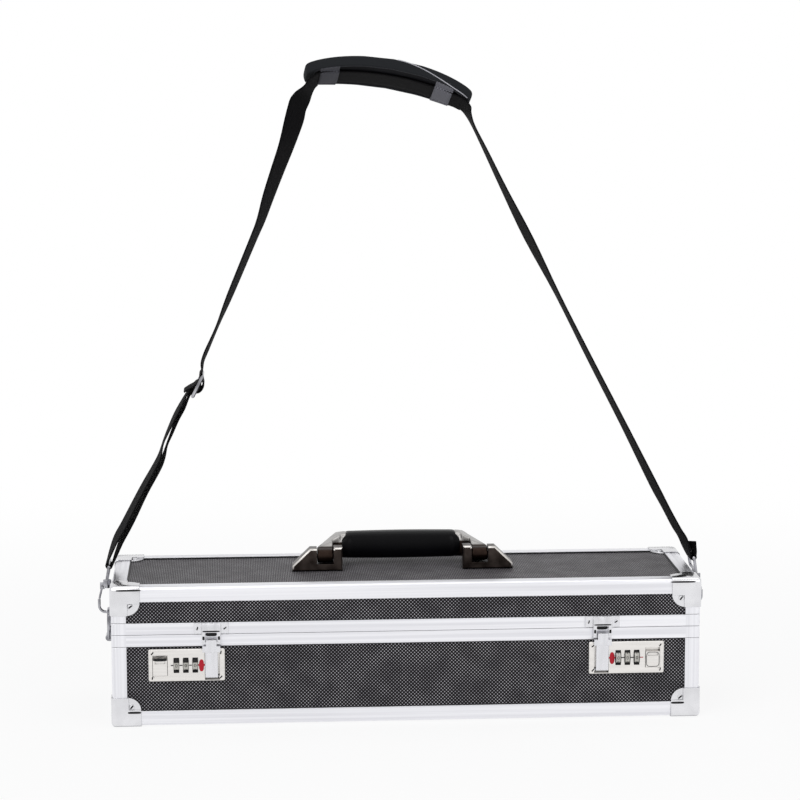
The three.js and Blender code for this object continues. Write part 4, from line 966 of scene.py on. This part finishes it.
def grip_surface():
    """Rings along X of a cos^p and b sin^p; towards the ends b shrinks on a quarter circle."""
    x = GRIP_HALF * np.sin(np.linspace(-np.pi / 2, np.pi / 2, GRIP_ROWS))
    into_cuff = np.clip((np.abs(x) - GRIP_CUFF_START) / GRIP_CUFF, 0, 1)
    fullness = 1 - GRIP_FULLER * (1 - np.cos(x / GRIP_HALF * np.pi / 2))
    depth = GRIP_HALF_DEPTH * fullness + GRIP_PROUD * np.clip(into_cuff * GRIP_RISE, 0, 1)
    height = GRIP_HALF_HEIGHT * fullness * (1 - GRIP_CUFF_DROP * (1 - np.sqrt(1 - into_cuff**2)))
    y, z = oval(GRIP_COLUMNS, GRIP_POWER)
    grid = stacked(x[:, None], GRIP_MIDDLE[0] + depth[:, None] * y, GRIP_MIDDLE[1] + height[:, None] * z)
    first, last = (np.broadcast_to([x[i], *GRIP_MIDDLE], grid[i:i + 1 or None].shape) for i in (0, -1))
    return np.vstack([first, grid, last])


grip = surface("handle_grip_sleeve", [grip_surface()], grip_finish, "handle")
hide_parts("handle_grip")

# %% [markdown]
# The arms are castings, so nothing on them is sharp. A merged copy of each CAD arm is remeshed in
# voxels smaller than a millimetre, and smoothing relaxes the corners into soft curves.

# %% Cast arms
CAST_VOXEL, CAST_ROUNDS = 0.55, 14

for end in ENDS:
    arm = merged_copy("handle_arm_" + end, "handle_cast_arm_" + end)
    voxels = arm.modifiers.new("casting", "REMESH")
    voxels.voxel_size = CAST_VOXEL * MM
    voxels.use_smooth_shade = True
    relaxed = arm.modifiers.new("soft corners", "SMOOTH")
    relaxed.iterations = CAST_ROUNDS
    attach(arm, "handle")
    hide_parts("handle_arm_" + end)
print("cast two arms in", CAST_VOXEL, "mm voxels")

# %% [markdown]
# Small marks make hardware read as real: screw slots, enamel, and black marks of painted shade in the
# gaps. Each is a low pad of superellipse outline on a face, with its rim sunk a little way into what
# carries it.

# %% Low marks
RIGHTWARD = {"front": (1, 0, 0), "back": (-1, 0, 0), "left": (0, -1, 0), "right": (0, 1, 0)}
MARK_SINK, MARK_COLUMNS = 0.25, 32
MARK_SHARES, MARK_RISES = (0, 0.6, 0.88, 1, 1, 0), (1, 1, 0.9, 0.4)


def mark(place, half, proud, roundness=4, turn=0, face="front"):
    """Rings of |u/a|^n + |v/b|^n = 1 shrunk towards the middle, high inside and sunk at the rim."""
    right, up = np.array([RIGHTWARD[face], (0, 0, 1)], float)
    u, v = (reach * w for reach, w in zip(half, oval(MARK_COLUMNS, 2 / roundness)))
    lean = math.radians(turn)
    u, v = u * math.cos(lean) - v * math.sin(lean), u * math.sin(lean) + v * math.cos(lean)
    share = np.array(MARK_SHARES)[:, None, None]
    rise = np.array([*(proud * rise for rise in MARK_RISES), -MARK_SINK, -MARK_SINK])[:, None, None]
    return place + share * (u[:, None] * right + v[:, None] * up) + rise * np.cross(right, up)


def black_marks(name, marks, body):
    """One black piece of marks on the caps and keepers of a body."""
    surface(name, marks, black_finish, body)


# %% [markdown]
# A black cord along the edge of the lid's top panel, inside the rails, draws a dark line there: painted
# shade. A pale cord in the seam between base and lid keeps that seam from reading dark: painted light.
# Both are round cords that follow a rectangle with small round corners.

# %% Painted shade line by the panel and painted light in the seam
SHADE_LINE_HALF, SHADE_LINE_Z, SHADE_LINE_RADIUS = (224.2, 51.7), 113.1, 0.62
SEAM_LIGHT_HALF, SEAM_LIGHT_Z, SEAM_LIGHT_RADIUS = (236.1, 63.6), 75.3, 0.09
CORD_CORNER, CORD_STEPS = 1.5, 6


def rectangle_cord(half, z, radius):
    """A closed tube: four quarter circles a corner in from a rectangle, joined by straight runs."""
    turns = []
    for k, (sx, sy) in enumerate(((1, 1), (-1, 1), (-1, -1), (1, -1))):
        middle = (sx * (half[0] - CORD_CORNER), sy * (half[1] - CORD_CORNER))
        turns.append(arc(middle, CORD_CORNER, 90 * k, 90 * k + 90, CORD_STEPS))
    path = stacked(*np.vstack(turns).T, z)
    return tube(path, radius, (0, 0, 1), sides=12, closed=True)


panel_shade_line = surface("lid_panel_seal", [rectangle_cord(SHADE_LINE_HALF, SHADE_LINE_Z, SHADE_LINE_RADIUS)], black_finish, "lid")
seam_light = surface("seam_bead", [rectangle_cord(SEAM_LIGHT_HALF, SEAM_LIGHT_Z, SEAM_LIGHT_RADIUS)], seam_light_finish, "base")

# %% [markdown]
# The rivets and screws on upright faces have slots, and no two point quite the same way. Their black
# also stands for the dark reflection each head shows: partly slot, partly painted reflection. The turn
# of each is worked out from its place, so that a rerun gives the same turns.

# %% Slots in rivets and screws
LOCK_X, LOCK_Z, LOCK_FRONT = 176.8, 50.4, -65.2
SCREW_OUT, SCREW_UP, SCREW_FRONT = 27.3, 10, -65.5
KEEPER_X, KEEPER_Z, KEEPER_OUT, KEEPER_HEAD = 157, 80.25, 11, -65.7
CAP_HALF_LENGTH, CAP_HALF_DEPTH, CAP_TOP = 237.5, 65.0, 115.0
CAP_RIVET, CAP_HEAD = 16.6, 0.5
SCREW_SLOT, CAP_SLOT, KEEPER_SLOT, SLOT_PROUD = (1.45, 0.55), (1.8, 0.65), (1.35, 0.55), 0.08


def slot_mark(place, half, face="front"):
    """A dark slot, which is also a painted reflection, turned 35 to 75 degrees by a sine of its place."""
    turn = 55 + 20 * math.sin(place[0] + 3 * place[1] + 7 * place[2])
    return mark(place, half, SLOT_PROUD, turn=turn, face=face)


def cap_slots(z):
    """One slot on each of a cap's two upright ears, for the four caps at one height."""
    slots = []
    for end, side in ENDS.items():
        for face, depth in (("front", -1), ("back", 1)):
            x, y = side * CAP_HALF_LENGTH, depth * CAP_HALF_DEPTH
            on_face = (x - side * CAP_RIVET, y - depth * CAP_HEAD, z)
            on_end = (x - side * CAP_HEAD, y - depth * CAP_RIVET, z)
            slots += [slot_mark(on_face, CAP_SLOT, face), slot_mark(on_end, CAP_SLOT, end)]
    return slots


screw_slots = [slot_mark((side * LOCK_X + out, SCREW_FRONT, LOCK_Z + up), SCREW_SLOT)
               for side in ENDS.values()
               for out in (-SCREW_OUT, SCREW_OUT) for up in (-SCREW_UP, SCREW_UP)]
keeper_slots = [slot_mark((side * KEEPER_X + out, KEEPER_HEAD, KEEPER_Z), KEEPER_SLOT)
                for side in ENDS.values() for out in (-KEEPER_OUT, KEEPER_OUT)]
black_marks("base_slots", cap_slots(CAP_RIVET) + screw_slots, "base")
black_marks("lid_slots", cap_slots(CAP_TOP - CAP_RIVET) + keeper_slots, "lid")

# %% [markdown]
# The pressed caps and the keepers have folds with openings, whose shade is painted as black marks: under
# each lower front ear, and above, in and beside the keeper's window. Along the upper caps' rolled edge
# the black mark is a painted reflection.

# %% Painted shade and reflection at the folds
KEEPER_FRONT, BAND_FRONT, KEEPER_ARM = -67.2, -64.0, 6.15
# Each gap has its place at the right end, its half length and height, and how far it stands out
PAINTED_SHADE_GAPS = {
    "base": {"ear root": ((218.85, -CAP_HALF_DEPTH, 12.1), (5.3, 0.9), 0.1)},
    "lid": {
        "rolled edge": ((222.45, -CAP_HALF_DEPTH, 111.8), (9.8, 0.7), 0.08),
        "above the window": ((KEEPER_X, KEEPER_FRONT, 78.1), (6.9, 0.62), 0.1),
        "in the window": ((KEEPER_X, BAND_FRONT, 75.0), (4.4, 1.5), 0.1),
        "inner arm": ((KEEPER_X - KEEPER_ARM, KEEPER_FRONT, 72.6), (0.9, 1.5), 0.1),
        "outer arm": ((KEEPER_X + KEEPER_ARM, KEEPER_FRONT, 72.6), (0.9, 1.5), 0.1),
    },
}

# Each mark is painted shade; the one on the rolled edge is a painted reflection.
for body, shade_gaps in PAINTED_SHADE_GAPS.items():
    marks = [mark((side * x, y, z), half, proud)
             for side in ENDS.values() for (x, y, z), half, proud in shade_gaps.values()]
    black_marks(body + "_gaps", marks, body)

# %% [markdown]
# Each dial turns behind a window where a black strip laps over the dial's curve above and below: painted
# shade at the window's ends. On the plate, dashes point at the row of figures that counts, and a red mark
# shows the open side. The left button carries a black slot, painted shade of the recess above it, and
# the right one a dark outline, painted shade round its edge.

# %% Marks on the locks
DIAL_PLACES = (170, 177.5, 185)
DIAL_Y, DIAL_RADIUS, SHADE_STRIP_WALL = -59.6, 7.58, 0.25
WINDOW_HALF, WINDOW_SIDE, SIDE_LINE_HALF = 2.2, 2.06, 0.13
SHADE_STRIP_SWEEPS = {"left": ((20, 54), (-54, -34)), "right": ((36, 54), (-54, -38))}
RED_X, RED_Z, RED_HALF, RED_PROUD, DASH_PROUD = 165.0, 50.1, (1.95, 4.9), 0.35, 0.15
BETWEEN_DIALS, RED_BAR = [(173.75, (1.2, 0.42)), (181.25, (1.2, 0.42))], (RED_X, (2.9, 0.75))
BLACK_DASHES = {"left": [*BETWEEN_DIALS, (188.5, (1.0, 0.42))], "right": BETWEEN_DIALS}
RED_DASHES = {"left": [RED_BAR], "right": [RED_BAR, (188.9, (1.5, 0.35))]}
BUTTON_X, BUTTON_FRONT = 198.0, -66.2
BUTTON_SLOT_Z, BUTTON_SLOT, BUTTON_SLOT_PROUD = 55.3, (5.6, 1.2), 0.12
OUTLINE_HALF, OUTLINE_Z, OUTLINE_POWER, OUTLINE_RADIUS, OUTLINE_SINK = (5.1, 5.9), 48.8, 0.4, 0.28, 0.05


def liner(x, half, start, stop):
    """An arc out at one radius and back at another, carried along X."""
    outer, inner = (arc((0, 0), DIAL_RADIUS + wall, start, stop, 12) for wall in (SHADE_STRIP_WALL, 0))
    loop = np.vstack([outer, inner[::-1], outer[:1]])
    loop = stacked(0, DIAL_Y - loop[:, 0], LOCK_Z + loop[:, 1])
    centre = np.broadcast_to(loop.mean(axis=0), loop.shape)
    return np.stack([centre - (half, 0, 0), loop - (half, 0, 0), loop + (half, 0, 0),
                     centre + (half, 0, 0)]) + (x, 0, 0)


def liners(end):
    """Strips of painted shade above and below each dial; on the right also thin lines at both sides."""
    strips = []
    for x in DIAL_PLACES:
        strips += [liner(ENDS[end] * x, WINDOW_HALF, *sweep) for sweep in SHADE_STRIP_SWEEPS[end]]
        if end == "right":
            strips += [liner(x + out, SIDE_LINE_HALF, -54, 54) for out in (-WINDOW_SIDE, WINDOW_SIDE)]
    return strips


def dashes(end, table):
    """Low dashes on the plate at the height of the counting row."""
    return [mark((ENDS[end] * x, LOCK_FRONT, LOCK_Z), half, DASH_PROUD) for x, half in table[end]]


def button_outline():
    """A thin tube along a squarish oval just inside the right button's edge: painted shade."""
    u, v = (w[:-1] for w in oval(48, OUTLINE_POWER))
    half_width, half_height = OUTLINE_HALF
    path = stacked(BUTTON_X + half_width * u, BUTTON_FRONT + OUTLINE_SINK, OUTLINE_Z + half_height * v)
    return tube(path, OUTLINE_RADIUS, (0, -1, 0), sides=8, closed=True)


def button_slot():
    """A low rounded slot in the upper half of the left button: painted shade."""
    place = (-BUTTON_X, BUTTON_FRONT, BUTTON_SLOT_Z)
    return mark(place, BUTTON_SLOT, BUTTON_SLOT_PROUD, roundness=3)


# The black strips and button marks are painted shade; the dashes and the red mark are the lock's own.
for end, side in ENDS.items():
    red_place = (side * RED_X, LOCK_FRONT, RED_Z)
    for name, grids, finish, body in (
            ("lock_window_shade_", liners(end) + dashes(end, BLACK_DASHES), black_finish, "base"),
            ("lock_red_", [mark(red_place, RED_HALF, RED_PROUD, roundness=2.6)]
             + dashes(end, RED_DASHES), red_finish, "base"),
            ("button_mark_", [button_slot() if end == "left" else button_outline()],
             black_finish, "button_" + end)):
        surface(name + end, grids, finish, body)

# %% [markdown]
# Ten figures go round each dial. Each is a text curve with a little thickness, turned into a mesh and
# laid on its facet, a tenth of a turn further for each figure.

# %% Dial figures
FIGURE_SIZE, FIGURE_WALL, DIAL_APOTHEM, FIGURES = 3.9, 0.03, 7.133, 10


def figure_points(figure):
    """Points and faces of a figure as flat text: across, up and out."""
    curve = bpy.data.curves.new("figure", "FONT")
    curve.body = str(figure)
    curve.align_x, curve.align_y = "CENTER", "CENTER"
    curve.size, curve.extrude = FIGURE_SIZE, FIGURE_WALL
    text = linked("figure", curve)
    bpy.context.view_layer.update()
    drawn = text.evaluated_get(bpy.context.evaluated_depsgraph_get()).to_mesh()
    points = np.array([vertex.co for vertex in drawn.vertices])
    points[:, :2] -= (points[:, :2].min(axis=0) + points[:, :2].max(axis=0)) / 2
    faces = [tuple(face.vertices) for face in drawn.polygons]
    bpy.data.objects.remove(text)
    return points, faces


def on_facet(points, x, turn):
    """Up leans back by the turn, and the text sits an apothem out from the spindle."""
    up = np.array([0, math.sin(turn), math.cos(turn)])
    out = np.array([0, -math.cos(turn), math.sin(turn)])
    return (np.array([x, DIAL_Y, LOCK_Z]) + points[:, :1] * (1, 0, 0) + points[:, 1:2] * up
            + (points[:, 2:] + DIAL_APOTHEM) * out)


figures, faces, count = [], [], 0
for step in range(FIGURES):
    points, drawn = figure_points(step)
    figures.append((points, step * 2 * math.pi / FIGURES))
    faces += [tuple(index + count for index in face) for face in drawn]
    count += len(points)
for end, side in ENDS.items():
    for k, x in enumerate(DIAL_PLACES, 1):
        name = f"dial_figures_{end}_{k}"
        laid = np.vstack([on_facet(points, side * x, turn) for points, turn in figures])
        piece = linked(name, mesh_of(name, laid, faces, black_finish))
        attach(piece, f"dial_{end}_{k}")
print("ten figures on each of six dials")
